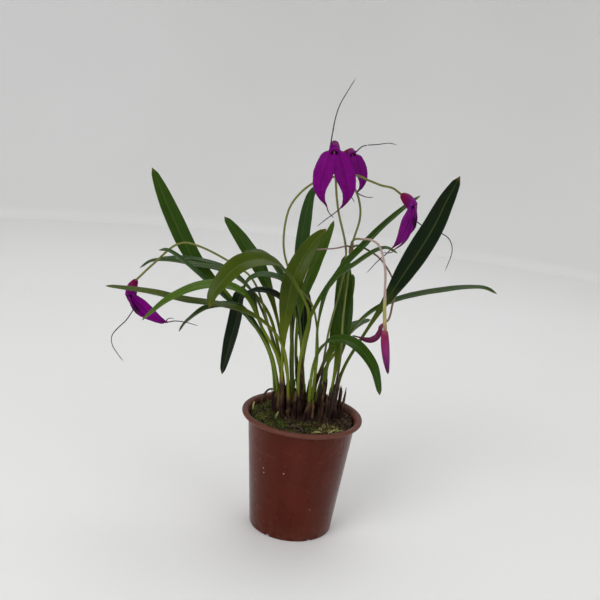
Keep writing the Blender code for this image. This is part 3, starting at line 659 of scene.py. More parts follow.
# Leaves: long leathery straps, narrow at the stalk, grooved along the midrib and keeled below.
# Each grows from its own short stem in the rhizome, so a leaf is one piece with its stalk.
PETIOLE_RADIUS = 1.15
BLADE_THICKNESS = 1.2
LEAF_AROUND = 20
LEAF_ROWS = 60
LEAF_FOLD = 0.34
LEAF_WAVINESS = 0.0012
# Half width of a blade, as a share of the widest, at each share of its length.
BLADE_OUTLINE = [(0.0, 0.0), (0.14, 0.161), (0.28, 0.514), (0.42, 0.859), (0.55, 1.0),
                 (0.7, 0.93), (0.82, 0.74), (0.92, 0.44), (1.0, 0.0)]
# Each leaf: route from its foot to its tip, blade width, share of the route that is stalk,
# direction in which the blade's width lies, and its green.
LEAVES = {
    "leaf_01": ([(-18, 15, 79), (-20, 15, 98), (-31, 17, 132), (-47, 19, 150), (-64, 23, 165),
                 (-94, 30, 189), (-115, 37, 220), (-134, 45, 253)],
                14, 0.42, (0.7, 0.5, 0.4), "mid"),
    "leaf_02": ([(-8, 14, 79), (-11, 14, 98), (-19, 18, 128), (-29, 29, 156), (-43, 41, 182),
                 (-62, 52, 204), (-78, 60, 220)], 12, 0.45, (0.8, 0.4, 0.3), "mid"),
    "leaf_03": ([(-5, 8, 79), (-8, 8, 98), (-13, 10, 132), (-19, 18, 166), (-30, 24, 188),
                 (-44, 29, 200), (-58, 34, 200)], 12, 0.45, (0.2, 1.0, 0.1), "mid"),
    "leaf_04": ([(0, 0, 79), (-2, 0, 98), (-4, 1, 128), (-3, 1.5, 159), (-8, -2.5, 176),
                 (-29, -16, 202), (-52, -31, 203), (-67, -44, 186), (-70, -49, 174)], 15, 0.45,
                (-0.7, 0.5, 0.45), "olive"),
    "leaf_05": ([(-14, -6, 79), (-16, -6, 98), (-19, -4, 130), (-20, -1, 163), (-17, 3, 192),
                 (-7, 9, 215), (2, 12, 227)], 15, 0.35, (1.0, 0.0, -0.2), "olive"),
    "leaf_06": ([(-2, 14, 79), (-4, 14, 98), (-10, 16, 130), (-11, 22, 165), (-4, 28, 195),
                 (7, 36, 230)], 10, 0.4, (0.8, 0.6, 0.0), "bright"),
    "leaf_07": ([(-8, 21, 79), (-10, 21, 98), (-14, 25, 128), (-15, 38, 169), (-16, 52, 213),
                 (-14, 61, 240), (-9, 66, 252)], 12, 0.4, (0.8, 0.5, 0.0), "bluish"),
    "leaf_08": ([(-3, -7, 79), (-4, -7, 98), (-6, -6, 130), (-1, -3, 167), (17, 1, 201),
                 (29, 4.5, 217), (46, 12.5, 237.5), (66.5, 21, 257.5)], 10, 0.3,
                (0.35, -0.9, -0.1), "mid"),
    "leaf_09": ([(6, 1, 79), (6, 1, 98), (6, -1, 128), (4, -7, 160), (9, -12, 191),
                 (26, -12.5, 209), (42, -14, 222), (53, -15, 220)],
                9, 0.35, (0.1, -1.0, -0.15), "mid"),
    "leaf_10": ([(24, 2, 79), (23, 2, 98), (26, 0, 126), (38, -5, 157), (53, -11, 191),
                 (72.5, -18, 236), (80, -22, 260), (86, -25, 278)], 16, 0.4,
                (0.65, -0.3, -0.5), "dark"),
    "leaf_11": ([(8, 8, 79), (9, 8, 98), (14, 9, 125), (24, 10, 143), (37, 10, 165),
                 (58, 10, 180), (90, 11, 191), (118, 12, 197), (131, 12, 194)], 10, 0.3,
                (0.0, -1.0, -0.15), "mid"),
    "leaf_12": ([(5, -6, 79), (4, -6, 98), (4, -8, 128), (10, -14, 148), (21, -18, 154),
                 (33, -24, 152), (45, -32, 141), (52, -40, 124)],
                10, 0.3, (-0.5, -0.7, -0.4), "mid"),
    "leaf_13": ([(-16, 8.5, 79), (-19, 9.5, 98), (-30, 13, 131), (-43, 16, 158), (-50, 17, 173),
                 (-56, 16, 168), (-57, 15, 150), (-64, 13, 107)],
                13, 0.4, (-0.8, 0.6, 0.0), "dark"),
    "leaf_14": ([(-9, -4, 79), (-11, -5, 98), (-16, -6, 130), (-24, -8, 148), (-40, -11, 161),
                 (-59, -14, 167), (-90, -18, 169), (-120, -21, 173), (-147, -24, 175)], 11, 0.3,
                (0.0, 1.0, 0.15), "olive"),
    "leaf_15": ([(-13, 2, 79), (-15, 2, 98), (-22, 1, 128), (-35, 0, 149), (-52, -6, 176),
                 (-75, -17, 182), (-98, -34, 174), (-115, -48, 160)], 11, 0.35,
                (0.0, 1.0, 0.3), "bright"),
    "leaf_16": ([(-18, 1, 79), (-19, 1, 98), (-26, 0, 128), (-38, 0, 148), (-54, -2, 164),
                 (-75, -5, 163), (-90, -7, 152), (-96, -8, 143)], 9, 0.35, (0.0, 1.0, 0.25), "mid"),
    "leaf_17": ([(-21, 7, 79), (-22, 6, 98), (-28, 4.5, 128), (-44, 6, 152), (-66, 5, 169),
                 (-87, 0, 186), (-106, -4, 200), (-115, -6, 201)],
                9, 0.4, (0.0, 1.0, 0.1), "bluish"),
    "leaf_18": ([(-13, 14, 79), (-15, 14, 98), (-23, 17, 130), (-36, 21, 160), (-63, 19, 183),
                 (-96, 10, 190), (-120, 9, 190), (-131, 9, 183)], 9, 0.45, (0.0, 1.0, 0.05), "mid"),
    "leaf_19": ([(-13, 20, 79), (-16, 20.5, 98), (-26, 23, 130), (-45, 28, 166), (-68, 27, 185),
                 (-97, 20, 192), (-119, 19, 190)], 8, 0.45, (0.0, 1.0, 0.05), "bluish"),
    "leaf_20": ([(1, 7, 79), (0, 7, 98), (-5, 8, 130), (-11, 10, 160), (-21, 11, 182),
                 (-36, 9, 188), (-49, 5, 185), (-54, 3, 175)], 10, 0.45, (0.0, 1.0, 0.2), "bluish"),
    "leaf_21": ([(-7, 2, 79), (-9, 2, 98), (-12, 5, 130), (-16, 7, 159), (-27, 8, 173),
                 (-43, 5, 177), (-54, 4, 170)], 10, 0.45, (0.0, 1.0, 0.25), "dark"),
    "leaf_22": ([(19, 2, 79), (19, 2, 98), (21, 3, 130), (22, 7.5, 156), (20, 18, 185),
                 (18, 24, 207)], 14, 0.3, (1.0, 0.0, 0.0), "mid"),
    "leaf_23": ([(-2, 21, 79), (-3, 22, 98), (-5, 32, 130), (-9, 52, 158), (-13, 75, 172)],
                13, 0.35, (1.0, 0.1, 0.0), "dark"),
    "leaf_24": ([(12, 15, 79), (13, 16, 98), (16, 25, 130), (22, 44, 162), (27, 62, 186)],
                12, 0.35, (1.0, -0.2, 0.0), "mid"),
    "leaf_25": ([(5, 21, 79), (6, 22, 98), (13, 32, 122), (29, 53, 142), (46, 74, 148)],
                12, 0.35, (0.8, -0.6, 0.0), "mid"),
}

# Greens of the blades, blade and stalk colours. Mid, olive and bluish are the leaves' own greens;
# bright is a lighter copy, painted light, and dark a darker one, partly the leaves' own deep green
# and partly painted shade.
GREENS = {
    "mid": (srgb(42, 69, 5), srgb(102, 120, 26)),
    "dark": (srgb(6, 24, 0), srgb(72, 88, 18)),
    "olive": (srgb(62, 78, 8), srgb(110, 118, 26)),
    "bluish": (srgb(42, 72, 26), srgb(88, 108, 30)),
    "bright": (srgb(66, 96, 12), srgb(116, 132, 30)),
}


def curve_point(points, index, share):
    """A point on the Catmull-Rom curve, between points[index] and the next."""
    last = len(points) - 1
    p1, p2 = points[index], points[index + 1]
    p0 = points[index - 1] if index > 0 else 2 * p1 - p2
    p3 = points[index + 2] if index + 2 <= last else 2 * p2 - p1
    even = 2 * p1 + (p2 - p0) * share
    odd = (2 * p0 - 5 * p1 + 4 * p2 - p3) * share ** 2
    cubic = (3 * p1 - p0 - 3 * p2 + p3) * share ** 3
    return 0.5 * (even + odd + cubic)


def smooth_route(route, straight_start=True, steps=24):
    """Dense points through a route in millimetres, as metres. Its first stretch is straight."""
    points = np.array(route, dtype=float) * MM
    first = 1 if straight_start else 0
    dense = [points[0]] if straight_start else []
    for index in range(first, len(points) - 1):
        dense += [curve_point(points, index, k / steps) for k in range(steps)]
    return np.array(dense + [points[-1]])


def scaled(vector, amount):
    return wired(vector.tree, "ShaderNodeVectorMath", {0: vector, "Scale": amount},
                 operation="SCALE")


def vectors(operation, *values):
    return wired(values[0].tree, "ShaderNodeVectorMath", enumerate(values),
                 "Value" if operation == "DOT_PRODUCT" else "Vector", operation=operation)


def noted(geometry, label, value, kind="FLOAT"):
    """Stores a named value on each point of a shape."""
    return wired(geometry.tree, "GeometryNodeStoreNamedAttribute",
                 {"Geometry": geometry, "Name": label, "Value": value}, data_type=kind,
                 domain="POINT")


def strap_tree():
    """A strap along the host line: width from a curve, V section, midrib, rounded ends."""
    tree, get = new_tree("strap_leaf", Around="Int", Rows="Int", Width="Float",
                         Stalk_share="Float", Stalk_radius="Float", Thickness="Float",
                         Fold="Float", Across="Vector", Waviness="Float", Seed="Float",
                         Material="Material")
    stalk, radius = get["Stalk share"], get["Stalk radius"]
    grid = unit_grid(tree, get["Around"] + 1.0, get["Rows"])
    x, y, _ = split(wired(tree, "GeometryNodeInputPosition"))
    angle = (x + 0.5) * FULL_TURN
    run = 1.0 - maths("SUBTRACT", 0.5, y, clamp=True) ** 1.25
    line = add_node(tree, "GeometryNodeSampleCurve",
                    {"Curves": wired(tree, "GeometryNodeMeshToCurve", {0: get["Geometry"]}),
                     "Factor": run}, mode="FACTOR").outputs
    ahead = vectors("NORMALIZE", Wire(line["Tangent"]))
    lean = vectors("DOT_PRODUCT", get["Across"], ahead)
    across = vectors("NORMALIZE", vectors("SUBTRACT", get["Across"], scaled(ahead, lean)))
    upper = vectors("CROSS_PRODUCT", across, ahead)
    share = maths("DIVIDE", run - stalk, 1.0 - stalk, clamp=True)
    outline = add_node(tree, "ShaderNodeFloatCurve", {"Value": share})
    points = outline.mapping.curves[0].points
    points[0].location, points[-1].location = BLADE_OUTLINE[0], BLADE_OUTLINE[-1]
    for place in BLADE_OUTLINE[1:-1]:
        points.new(*place)
    outline.mapping.update()
    half = radius + (get["Width"] * 0.5 - radius) * Wire(outline.outputs[0])
    into_blade = spread(share, 0.0, 0.16)
    thick = wired(tree, "ShaderNodeMix", {"Factor": into_blade, "A": radius,
                                          "B": get["Thickness"] * 0.5})
    foot_end = maths("DIVIDE", run, 0.008, clamp=True) ** 0.5
    tip_end = maths("DIVIDE", 1.0 - run, 0.022, clamp=True) ** 0.6
    ends = foot_end * tip_end
    half, thick = half * ends, thick * maths("MAXIMUM", ends, 0.02)
    cosine, sine = maths("COSINE", angle), maths("SINE", angle)
    aside, spine = half * cosine, half * 0.14
    fold = get["Fold"] * (into_blade * spread(share, 0.75, 1.0, 1.0, 0.45))
    rise = fold * (maths("SQRT", aside * aside + spine * spine) - spine)
    groove = maths("EXPONENT", (aside / 0.0007) ** 2.0 * -1.0) * (into_blade * -0.00035)
    ripple = noise_value(vector_of(run * 9.0, cosine, get["Seed"]), 1.0, 1.0) - 0.5
    ripple = ripple * (get["Waviness"] * (into_blade * ends))
    lift = thick * sine + (rise + (groove + ripple))
    place = vectors("ADD", Wire(line["Position"]), scaled(across, aside))
    place = vectors("ADD", place, scaled(upper, lift))
    strap = noted(grid, "blade_place", vector_of(cosine, run, share), "FLOAT_VECTOR")
    strap = moved(noted(strap, "upper_face", sine), "Position", place)
    closed = wired(tree, "GeometryNodeMergeByDistance", {"Geometry": strap, "Distance": 0.00002})
    return give_out(closed, get["Material"])


def attribute(tree, name, output="Fac"):
    return wired(tree, "ShaderNodeAttribute", output=output, attribute_name=name)


def skin_group(name, **inputs):
    """A shader node group with named inputs, each with a default, that gives out a skin."""
    tree = bpy.data.node_groups.new(name, "ShaderNodeTree")
    for label, value in inputs.items():
        kind = "NodeSocketColor" if isinstance(value, tuple) else "NodeSocketFloat"
        socket = tree.interface.new_socket(label, in_out="INPUT", socket_type=kind)
        socket.default_value = (*value, 1.0) if isinstance(value, tuple) else value
    for label, kind in (("Color", "Color"), ("Roughness", "Float"), ("Height", "Float")):
        tree.interface.new_socket(label, in_out="OUTPUT", socket_type="NodeSocket" + kind)
    return tree, group_inputs(tree), tree.nodes.new("NodeGroupOutput")


def skinned(look, tree, shader, skin, relief, **values):
    """Dresses a shader with a skin group's colour, roughness and relief."""
    node = add_node(tree, "ShaderNodeGroup", node_tree=skin)
    for label, value in values.items():
        node.inputs[label].default_value = (*value, 1.0) if isinstance(value, tuple) else value
    color, roughness, height = (Wire(socket) for socket in node.outputs)
    lay_on(shader, Base_Color=color, Roughness=roughness, Normal=bump(height, relief, 0.0003))
    return look


def waxy_leaf_skin():
    """Colour, roughness and relief of a leaf from its own places along and across the blade."""
    tree, get, out = skin_group("waxy leaf skin", Blade=(0.1, 0.2, 0.03),
                                Stalk=(0.2, 0.25, 0.05), Shift=0.0)
    aside, run, share = split(attribute(tree, "blade_place", "Vector"))
    place = object_coordinates(tree)
    colour = blend_colour(spread(share, 0.0, 0.32), get["Stalk"], get["Blade"])
    colour = blend_colour(spread(run, 0.16, 0.05) * 0.6, colour, srgb(112, 84, 52))
    fibres = noise_value(vector_of(aside * 16.0, run * 5.0, get["Shift"]), 1.0, 4.0, 0.6)
    colour = blend_colour(spread(fibres, 0.35, 0.7, 0.0, 0.4), colour, (0.62, 0.66, 0.5),
                          "MULTIPLY")
    cloud = noise_value(place, 75.0, 4.0, 0.6)
    colour = blend_colour(spread(cloud, 0.38, 0.62, 0.0, 0.55), colour, (1.35, 1.25, 0.95),
                          "MULTIPLY")
    rib = spread(abs(aside), 0.09, 0.02) * spread(share, 0.05, 0.3, 0.0, 0.2)
    colour = blend_colour(rib, colour, srgb(122, 140, 66))
    edge = spread(abs(aside), 0.93, 0.995, 0.0, 0.22)
    colour = blend_colour(edge, colour, srgb(106, 124, 44))
    under = spread(attribute(tree, "upper_face"), 0.05, -0.25, 0.0, 0.2)
    colour = blend_colour(under, colour, srgb(104, 124, 66))
    tip = spread(share, 0.965, 0.995) * spread(noise_value(place, 160.0, 2.0), 0.4, 0.6, 0.15,
                                               0.75)
    colour = blend_colour(tip, colour, srgb(118, 92, 44))
    speck = dots(place, 330.0, 0.16, 0.1) * spread(noise_value(place, 55.0, 1.0), 0.6, 0.68, 0.0,
                                                   0.5)
    colour = blend_colour(speck, colour, srgb(160, 166, 120))
    lay_on(out, Color=colour, Roughness=spread(cloud, 0.3, 0.7, 0.3, 0.46) + under * 0.4,
           Height=fibres * 0.7 + noise_value(place, 1400.0, 2.0) * 0.3)
    return tree


def leaves():
    tree, skin, looks = strap_tree(), waxy_leaf_skin(), {}
    for number, (tone, (blade, stalk)) in enumerate(GREENS.items()):
        plain = shader_of("leaf_green_" + tone, Specular_IOR_Level=0.13, Subsurface_Weight=0.06,
                          Subsurface_Scale=0.001)
        looks[tone] = skinned(*plain, skin, 0.35, Blade=blade, Stalk=stalk, Shift=3.7 * number)
    for number, (name, (route, width, stalk, across, tone)) in enumerate(LEAVES.items()):
        host = line_mesh(name + "_line", smooth_route(route))
        piece = grown("strap_" + name, host, tree, Around=LEAF_AROUND, Rows=LEAF_ROWS,
                      Width=width * MM, Stalk_share=stalk, Stalk_radius=PETIOLE_RADIUS * MM,
                      Thickness=BLADE_THICKNESS * MM, Fold=LEAF_FOLD, Across=across,
                      Waviness=LEAF_WAVINESS, Seed=1.7 * number, Material=looks[tone])
        finish_piece(piece, [name])


leaves()

# Rhizome: the short, knotted creeping stem of the plant, under a mat of dead fibre that rises
# a little out of the potting mix.
MAT_BOTTOM = 76.0
MAT_EDGE = 84.6
MAT_SHOULDER = 85.0
MAT_PEAK = 89.1


def rhizome():
    around, steps = 110, 34
    profile = [(1.0, MAT_BOTTOM), (1.0, MAT_EDGE)]
    for share in (1 - step / steps for step in range(1, steps)):
        profile.append((share, MAT_SHOULDER + (MAT_PEAK - MAT_SHOULDER) * (1 - share ** 4)))
    rings = []
    for share, height in profile:
        ring = []
        for angle in angles_of(around):
            x = MAT_CENTRE[0] + MAT_HALF_LENGTH * share * math.cos(angle)
            y = MAT_CENTRE[1] + MAT_HALF_DEPTH * share * math.sin(angle)
            lumps = noise.fractal(Vector((x / 2.2, y / 2.2, 8.0)), 0.9, 2.0, 4)
            ring.append((x, y, height if height == MAT_BOTTOM else height + 0.8 * lumps))
        rings.append(ring)
    fibre = mix_look("rhizome_fibre", srgb(74, 54, 38), srgb(34, 23, 17), srgb(12, 8, 7), 800.0)
    finish_piece(mounded("mound", rings, (*MAT_CENTRE, MAT_PEAK), fibre),
                 ["rhizome"])


rhizome()

# Old sheaths: dry papery tubes round the foot of each leaf stalk, torn and open aslant, with
# more of them standing empty among the stalks. They stay on the plant when they die.
SHEATH_WALL = 0.28
SHEATH_FOOT = 4.0
SPLIT_SHEATHS = 34
# The sheaths that show clearly: number of the leaf, how pale, and how long.
SEEN_SHEATHS = {10: (0.1, 41), 22: (0.75, 27)}
OLD_SHEATHS = [((13, -6, 84), (14, -8, 116)), ((28, 6, 84), (31, 6, 110)),
               ((14, 8, 84), (16, 8, 120)), ((20, 10, 84), (23, 11, 113)),
               ((12, 22, 84), (14, 25, 115)), ((18, 17, 84), (21, 19, 108)),
               ((-6, -9, 84), (-7, -12, 110))]
SHEATH_BROWN, SHEATH_DARK, SHEATH_TAN = srgb(58, 32, 26), srgb(26, 13, 13), srgb(132, 106, 66)


def joined(name, parts):
    """One object from several, each of which keeps its material and its attributes."""
    with bpy.context.temp_override(active_object=parts[0], selected_editable_objects=parts):
        bpy.ops.object.join()
    parts[0].name = parts[0].data.name = name
    return parts[0]


def recoloured(piece, look):
    piece.data.materials.clear()
    piece.data.materials.append(look)
    return piece


def length_along(dense):
    steps = np.linalg.norm(np.diff(dense[:, :3], axis=0), axis=1)
    return np.concatenate([[0.0], np.cumsum(steps)])


def on_route(dense, run, station, back, ahead):
    """Place, direction and size on a dense route. The direction is read from back to ahead."""
    here, before, after = (
        np.array([np.interp(min(max(station + shift * MM, 0), run[-1]), run, column)
                  for column in dense.T]) for shift in (0, -back, ahead))
    return Vector(here[:3]), Vector((after - before)[:3]).normalized(), here[-1]


def square_to(direction, side):
    """A side direction turned square to the direction of a route."""
    side = Vector(side)
    return (side - direction * side.dot(direction)).normalized()


def papery_sheath(dense, start, length, radius, draw, flare=1.0, pale=0.0):
    """A thin open tube along a stalk, double walled, ribbed, with a torn slanting mouth."""
    around, rows = 16, 12
    run = length_along(dense)
    turn, seed = draw.uniform(0, FULL_TURN), draw.uniform(0, 50)
    walls = [(row / (rows - 1), radius) for row in range(rows)]
    walls += [(share, radius - SHEATH_WALL) for share in (1.0, 0.9, 0.7, 0.45)]
    rings = []
    for share, wide in walls:
        ring = []
        for angle in angles_of(around):
            torn = noise.noise(Vector((math.cos(angle) * 2, math.sin(angle) * 2, seed))) * 0.14
            reach = 1 - 0.15 * (1 + math.cos(angle - turn)) + torn
            station = min((start + length * share * reach) * MM, run[-1])
            place, direction, _ = on_route(dense, run, station, 0.0, 1.0)
            side = square_to(direction, (1, 0, 0))
            ribs = 1 + 0.05 * math.cos(6 * angle + seed) + 0.06 * share * math.cos(2 * angle + seed)
            away = wide * ribs * (1 + (flare - 1) * share) * MM
            other = direction.cross(side)
            ring.append(place + (side * math.cos(angle) + other * math.sin(angle)) * away)
        rings.append(ring)
    piece = shaped("sheath", *ring_loft(rings))
    mark(piece.data, "mouth_share", [share for share, wide in walls for _ in range(around)])
    mark(piece.data, "paleness", [pale] * len(piece.data.vertices))
    return piece


def sheath_look():
    """Dry papery skin: dark purplish brown with lengthwise fibres, tan near the torn mouth."""
    look, tree, shader = shader_of("dead_sheath", Specular_IOR_Level=0.2, Roughness=0.7)
    fibres = noise_value(object_coordinates(tree, (1500, 1500, 70)), 1.0, 4.0, 0.6)
    patches = noise_value(object_coordinates(tree), 130.0)
    colour = ramp(fibres, (0.36, SHEATH_DARK), (0.56, SHEATH_BROWN), (0.76, SHEATH_TAN))
    mouth = spread(attribute(tree, "mouth_share"), 0.6, 1.0, 0.0, 0.55)
    pale = maths("MAXIMUM", mouth * spread(patches, 0.42, 0.62), attribute(tree, "paleness"))
    colour = blend_colour(pale, colour, SHEATH_TAN)
    colour = blend_colour(spread(patches, 0.5, 0.36, 0.0, 0.7), colour, SHEATH_DARK)
    lay_on(shader, Base_Color=colour, Normal=bump(fibres, 0.6, 0.0004))
    return look


def dry_sheaths():
    draw = np.random.default_rng(11)
    parts = []
    for number, (route, *_) in enumerate(LEAVES.values(), 1):
        dense = smooth_route(route)
        pale, length = draw.choice([0.0, 0.0, 0.0, 0.15, 0.6]), draw.uniform(17, 47)
        pale, length = SEEN_SHEATHS.get(number, (pale, length))
        parts.append(papery_sheath(dense, SHEATH_FOOT, length, 1.85, draw, 0.84, pale))
        parts.append(papery_sheath(dense, SHEATH_FOOT, draw.uniform(11, 20), 2.1, draw, 1.0))
    for foot, tip in OLD_SHEATHS:
        dense = smooth_route([foot, tip, tuple(2 * b - a for a, b in zip(foot, tip))], False)
        height = math.dist(foot, tip)
        parts.append(papery_sheath(dense, 0.5, height, 1.5, draw, 0.55))
        parts.append(papery_sheath(dense, 0.5, height * 0.55, 1.8, draw, 1.1))
    for _ in range(SPLIT_SHEATHS):
        angle, reach = draw.uniform(0, FULL_TURN), math.sqrt(draw.uniform(0, 0.8))
        x = MAT_CENTRE[0] + MAT_HALF_LENGTH * reach * math.cos(angle)
        y = MAT_CENTRE[1] + MAT_HALF_DEPTH * reach * math.sin(angle)
        lean_x, lean_y = draw.uniform(-3, 3, 2)
        dense = smooth_route([(x, y, 84), (x + lean_x * 0.3, y + lean_y * 0.3, 95),
                              (x + lean_x, y + lean_y, 118)], False)
        parts.append(papery_sheath(dense, 0.5, draw.uniform(9, 29), draw.uniform(1.1, 1.7), draw,
                                   draw.uniform(0.55, 1.0), draw.choice([0.0, 0.0, 0.1, 0.8])))
    finish_piece(recoloured(joined("dry_sheaths", parts), sheath_look()))


dry_sheaths()

# Scapes: wiry flower stalks, smooth and olive, that rise from the rhizome and carry one bloom
# each. One of them branches at a small bract and carries a bud and a faded flower as well.
SCAPE_RADIUS = 0.8
# Routes from the foot in the rhizome to the ovary.
SCAPES = {
    "scape_a": [(11, 1, 79), (11, 2, 98), (12, 4, 148), (17, 8, 185), (18, 11, 212),
                (8.5, 2, 243), (4, -4, 266), (1.3, -4.6, 283.8)],
    "scape_c": [(5, 14, 79), (6, 14, 98), (6, 14, 135), (-1, 14, 167), (-16, 16, 183),
                (-27, 20, 205), (-28, 19, 230), (-22, 12, 247), (-8, 4, 261), (15, 2, 268),
                (28, 4, 265.3), (37, 7.2, 262.7), (45, 9.2, 261.6), (50.9, 9.9, 258.25)],
    "scape_d": [(-10, 8, 79), (-13, 8, 98), (-27, 9, 136), (-45, 14, 179), (-64, 18, 192),
                (-90, 15, 203), (-105, 10, 203), (-119, 2, 189), (-129, -3.6, 177.6)],
}
CLUSTER_STEM = [(20, -5, 79), (21, -5, 98), (23, -4, 135), (21.5, 3, 165), (21.5, 11, 197),
                (21.5, 12.5, 216), (25, 14, 236), (23, 16, 249), (17, 22, 260), (10, 28.5, 270),
                (6.1, 33.1, 277.2)]
BUD_BRANCH = [(21.5, 12.5, 215), (21.3, 8, 220), (23.5, 2, 223.5), (28, -5, 225), (34, -14, 226.5),
              (40, -21, 223), (45, -25, 209), (46.7, -25, 195)]
BUD_OVARY = [(46.7, -25, 196), (48.3, -25, 181), (50.5, -25, 167)]
FADED_BRANCH = [(21.5, 12.5, 215), (26, 14, 217), (33, 12.5, 215), (43, 5, 210.5), (52, 2, 200),
                (56.5, 0, 190), (55.3, -2, 180), (54.6, -5, 174), (53.4, -8.5, 170.4),
                (51.3, -11.2, 168.7)]
SPENT_BRANCH = [(21.5, 12.5, 215), (18, 6.5, 217), (10, 3, 215), (-3, 0, 213)]
BRACT = [(21.5, 12, 209), (21.5, 12.5, 215), (22, 12.8, 219)]
OLIVE, OLIVE_DARK = srgb(120, 126, 58), srgb(88, 78, 46)
PINK_CREAM, PALE_GREEN = srgb(178, 154, 146), srgb(170, 164, 100)
TAN, BRACT_BROWN = srgb(134, 112, 92), srgb(126, 104, 72)


def stalk_tree():
    """A round stalk along the host line, with its own radius at each point and closed ends."""
    tree, get = new_tree("wiry_stalk", Sides="Int", Knobbiness="Float", Seed="Float",
                         Material="Material")
    curve = noted(wired(tree, "GeometryNodeMeshToCurve", {0: get["Geometry"]}), "stalk_share",
                  wired(tree, "GeometryNodeSplineParameter", output="Factor"))
    radius = wired(tree, "GeometryNodeInputNamedAttribute", {"Name": "radius_here"},
                   data_type="FLOAT")
    ring = wired(tree, "GeometryNodeCurvePrimitiveCircle", {"Resolution": get["Sides"],
                                                            "Radius": 1.0})
    rod = wired(tree, "GeometryNodeCurveToMesh", {"Curve": curve, "Profile Curve": ring,
                                                  "Scale": radius, "Fill Caps": True})
    place = wired(tree, "GeometryNodeInputPosition")
    lumps = noise_value(vectors("ADD", place, vector_of(z=get["Seed"])), 420.0, 2.0)
    push = (lumps - 0.5) * get["Knobbiness"]
    rough = moved(rod, "Offset", scaled(wired(tree, "GeometryNodeInputNormal"), push))
    return give_out(rough, get["Material"])


def rounded_radii(dense, radii):
    """A radius in metres for each dense point, with round ends."""
    run = length_along(dense)
    wanted = np.interp(run / run[-1], np.linspace(0, 1, len(radii)), np.array(radii) * MM)
    for gap in (run, run[-1] - run):
        share = np.clip(gap / (wanted * 0.9), 0.0, 1.0)
        wanted = wanted * np.maximum(np.sqrt(1 - (1 - share) ** 2), 0.06)
    return wanted


def even_route(route, spacing, straight_start=False):
    """A smooth route's points at even spacing, closer together at both ends."""
    dense = smooth_route(route, straight_start)
    run = length_along(dense)
    count = max(6, int(run[-1] / (spacing * MM)))
    near = [0.1 * MM, 0.25 * MM, 0.5 * MM, 0.9 * MM]
    places = sorted({*np.linspace(0, run[-1], count), *near, *(run[-1] - n for n in near)})
    return np.array([[np.interp(p, run, column) for column in dense.T] for p in places])


def stalk(name, route, radii, look, spacing=1.6, sides=10, knobbiness=0.0, seed=0.0,
          straight_start=False):
    points = even_route(route, spacing, straight_start)
    host = line_mesh(name + "_line", points, radius_here=rounded_radii(points, radii))
    return grown(name, host, STALK_TREE, Sides=sides, Knobbiness=knobbiness * MM, Seed=seed,
                 Material=look)


def stalk_look(name, colour, foot_colour, tip_colour, roughness=0.42):
    """Stalk skin: colour drifts from foot to tip, with fine lengthwise grain and dark dots."""
    look, tree, shader = shader_of(name, Specular_IOR_Level=0.3)
    base = ramp(attribute(tree, "stalk_share"), (0.0, foot_colour), (0.2, foot_colour),
                (0.34, colour), (0.75, colour), (1.0, tip_colour))
    grain = noise_value(object_coordinates(tree, (700, 700, 90)), 1.0)
    base = blend_colour(spread(grain, 0.35, 0.7, 0.0, 0.5), base, (0.62, 0.6, 0.55), "MULTIPLY")
    base = blend_colour(dots(object_coordinates(tree), 900.0, 0.3, 0.16, 0.35), base,
                        srgb(70, 36, 34))
    lay_on(shader, Base_Color=base,
           Roughness=spread(grain, 0.3, 0.7, roughness - 0.06, roughness + 0.12),
           Normal=bump(grain, 0.3, 0.0002))
    return look


def reaching(route, reach=1.3):
    """A route carried on a little past its end, so that the stalk runs into the flower."""
    before, end = (Vector(point) for point in route[-2:])
    return route + [tuple(end + (end - before).normalized() * reach)]


def scapes():
    olive = stalk_look("scape_olive", OLIVE, srgb(40, 30, 28), srgb(118, 116, 58))
    plain = [1.15 * SCAPE_RADIUS, SCAPE_RADIUS, SCAPE_RADIUS, SCAPE_RADIUS]
    for number, (name, route) in enumerate(SCAPES.items()):
        piece = stalk("wiry_" + name, reaching(route), plain, olive, straight_start=True,
                      knobbiness=0.18, seed=number)
        finish_piece(piece, [name], crease=50)
    cream = stalk_look("bud_stalk_cream", PINK_CREAM, OLIVE, PINK_CREAM)
    green = stalk_look("bud_ovary_green", PALE_GREEN, PINK_CREAM, srgb(160, 92, 90))
    tan = stalk_look("faded_stalk_tan", TAN, OLIVE_DARK, srgb(128, 84, 84))
    spent = stalk_look("spent_stalk_grey", srgb(146, 118, 116), OLIVE_DARK, srgb(122, 96, 92))
    brown = stalk_look("bract_brown", BRACT_BROWN, OLIVE, BRACT_BROWN, 0.6)
    stem = stalk("stem", reaching(CLUSTER_STEM), plain, olive, straight_start=True,
                 knobbiness=0.18)
    branches = [
        ("bud_branch", reaching(BUD_BRANCH), [0.85, 0.8, 0.8, 0.85], cream, 1.6, 10, 0.15),
        ("bud_ovary", reaching(BUD_OVARY, 1.5), [0.85, 1.15, 1.3, 1.25, 1.3], green, 0.8, 12, 0.35),
        ("faded_branch", reaching(FADED_BRANCH, 1.5), [0.75, 0.65, 0.7, 0.8], tan, 1.6, 10, 0.2),
        ("spent_branch", SPENT_BRANCH, [0.75, 0.6, 0.5, 0.7], spent, 1.6, 10, 0.25),
        ("bract", BRACT, [0.9, 1.6, 1.75, 1.4, 0.9], brown, 0.6, 14, 0.3)]
    parts = [stem] + [stalk(*branch) for branch in branches]
    finish_piece(joined("flowering_scape_b", parts), ["scape_b"], crease=50)


STALK_TREE = stalk_tree()
scapes()

# Blooms: three sepals, fused at the base into a short tube, each drawn out into a thin tail.
# Thin waxy petal tissue, deep magenta purple with darker veins, edges and tails.
TAIL_RADIUS = 0.45
SEPAL_THICKNESS = 0.9
SEPAL_SWEEP = 0.55
PETAL_GRAIN = 0.26
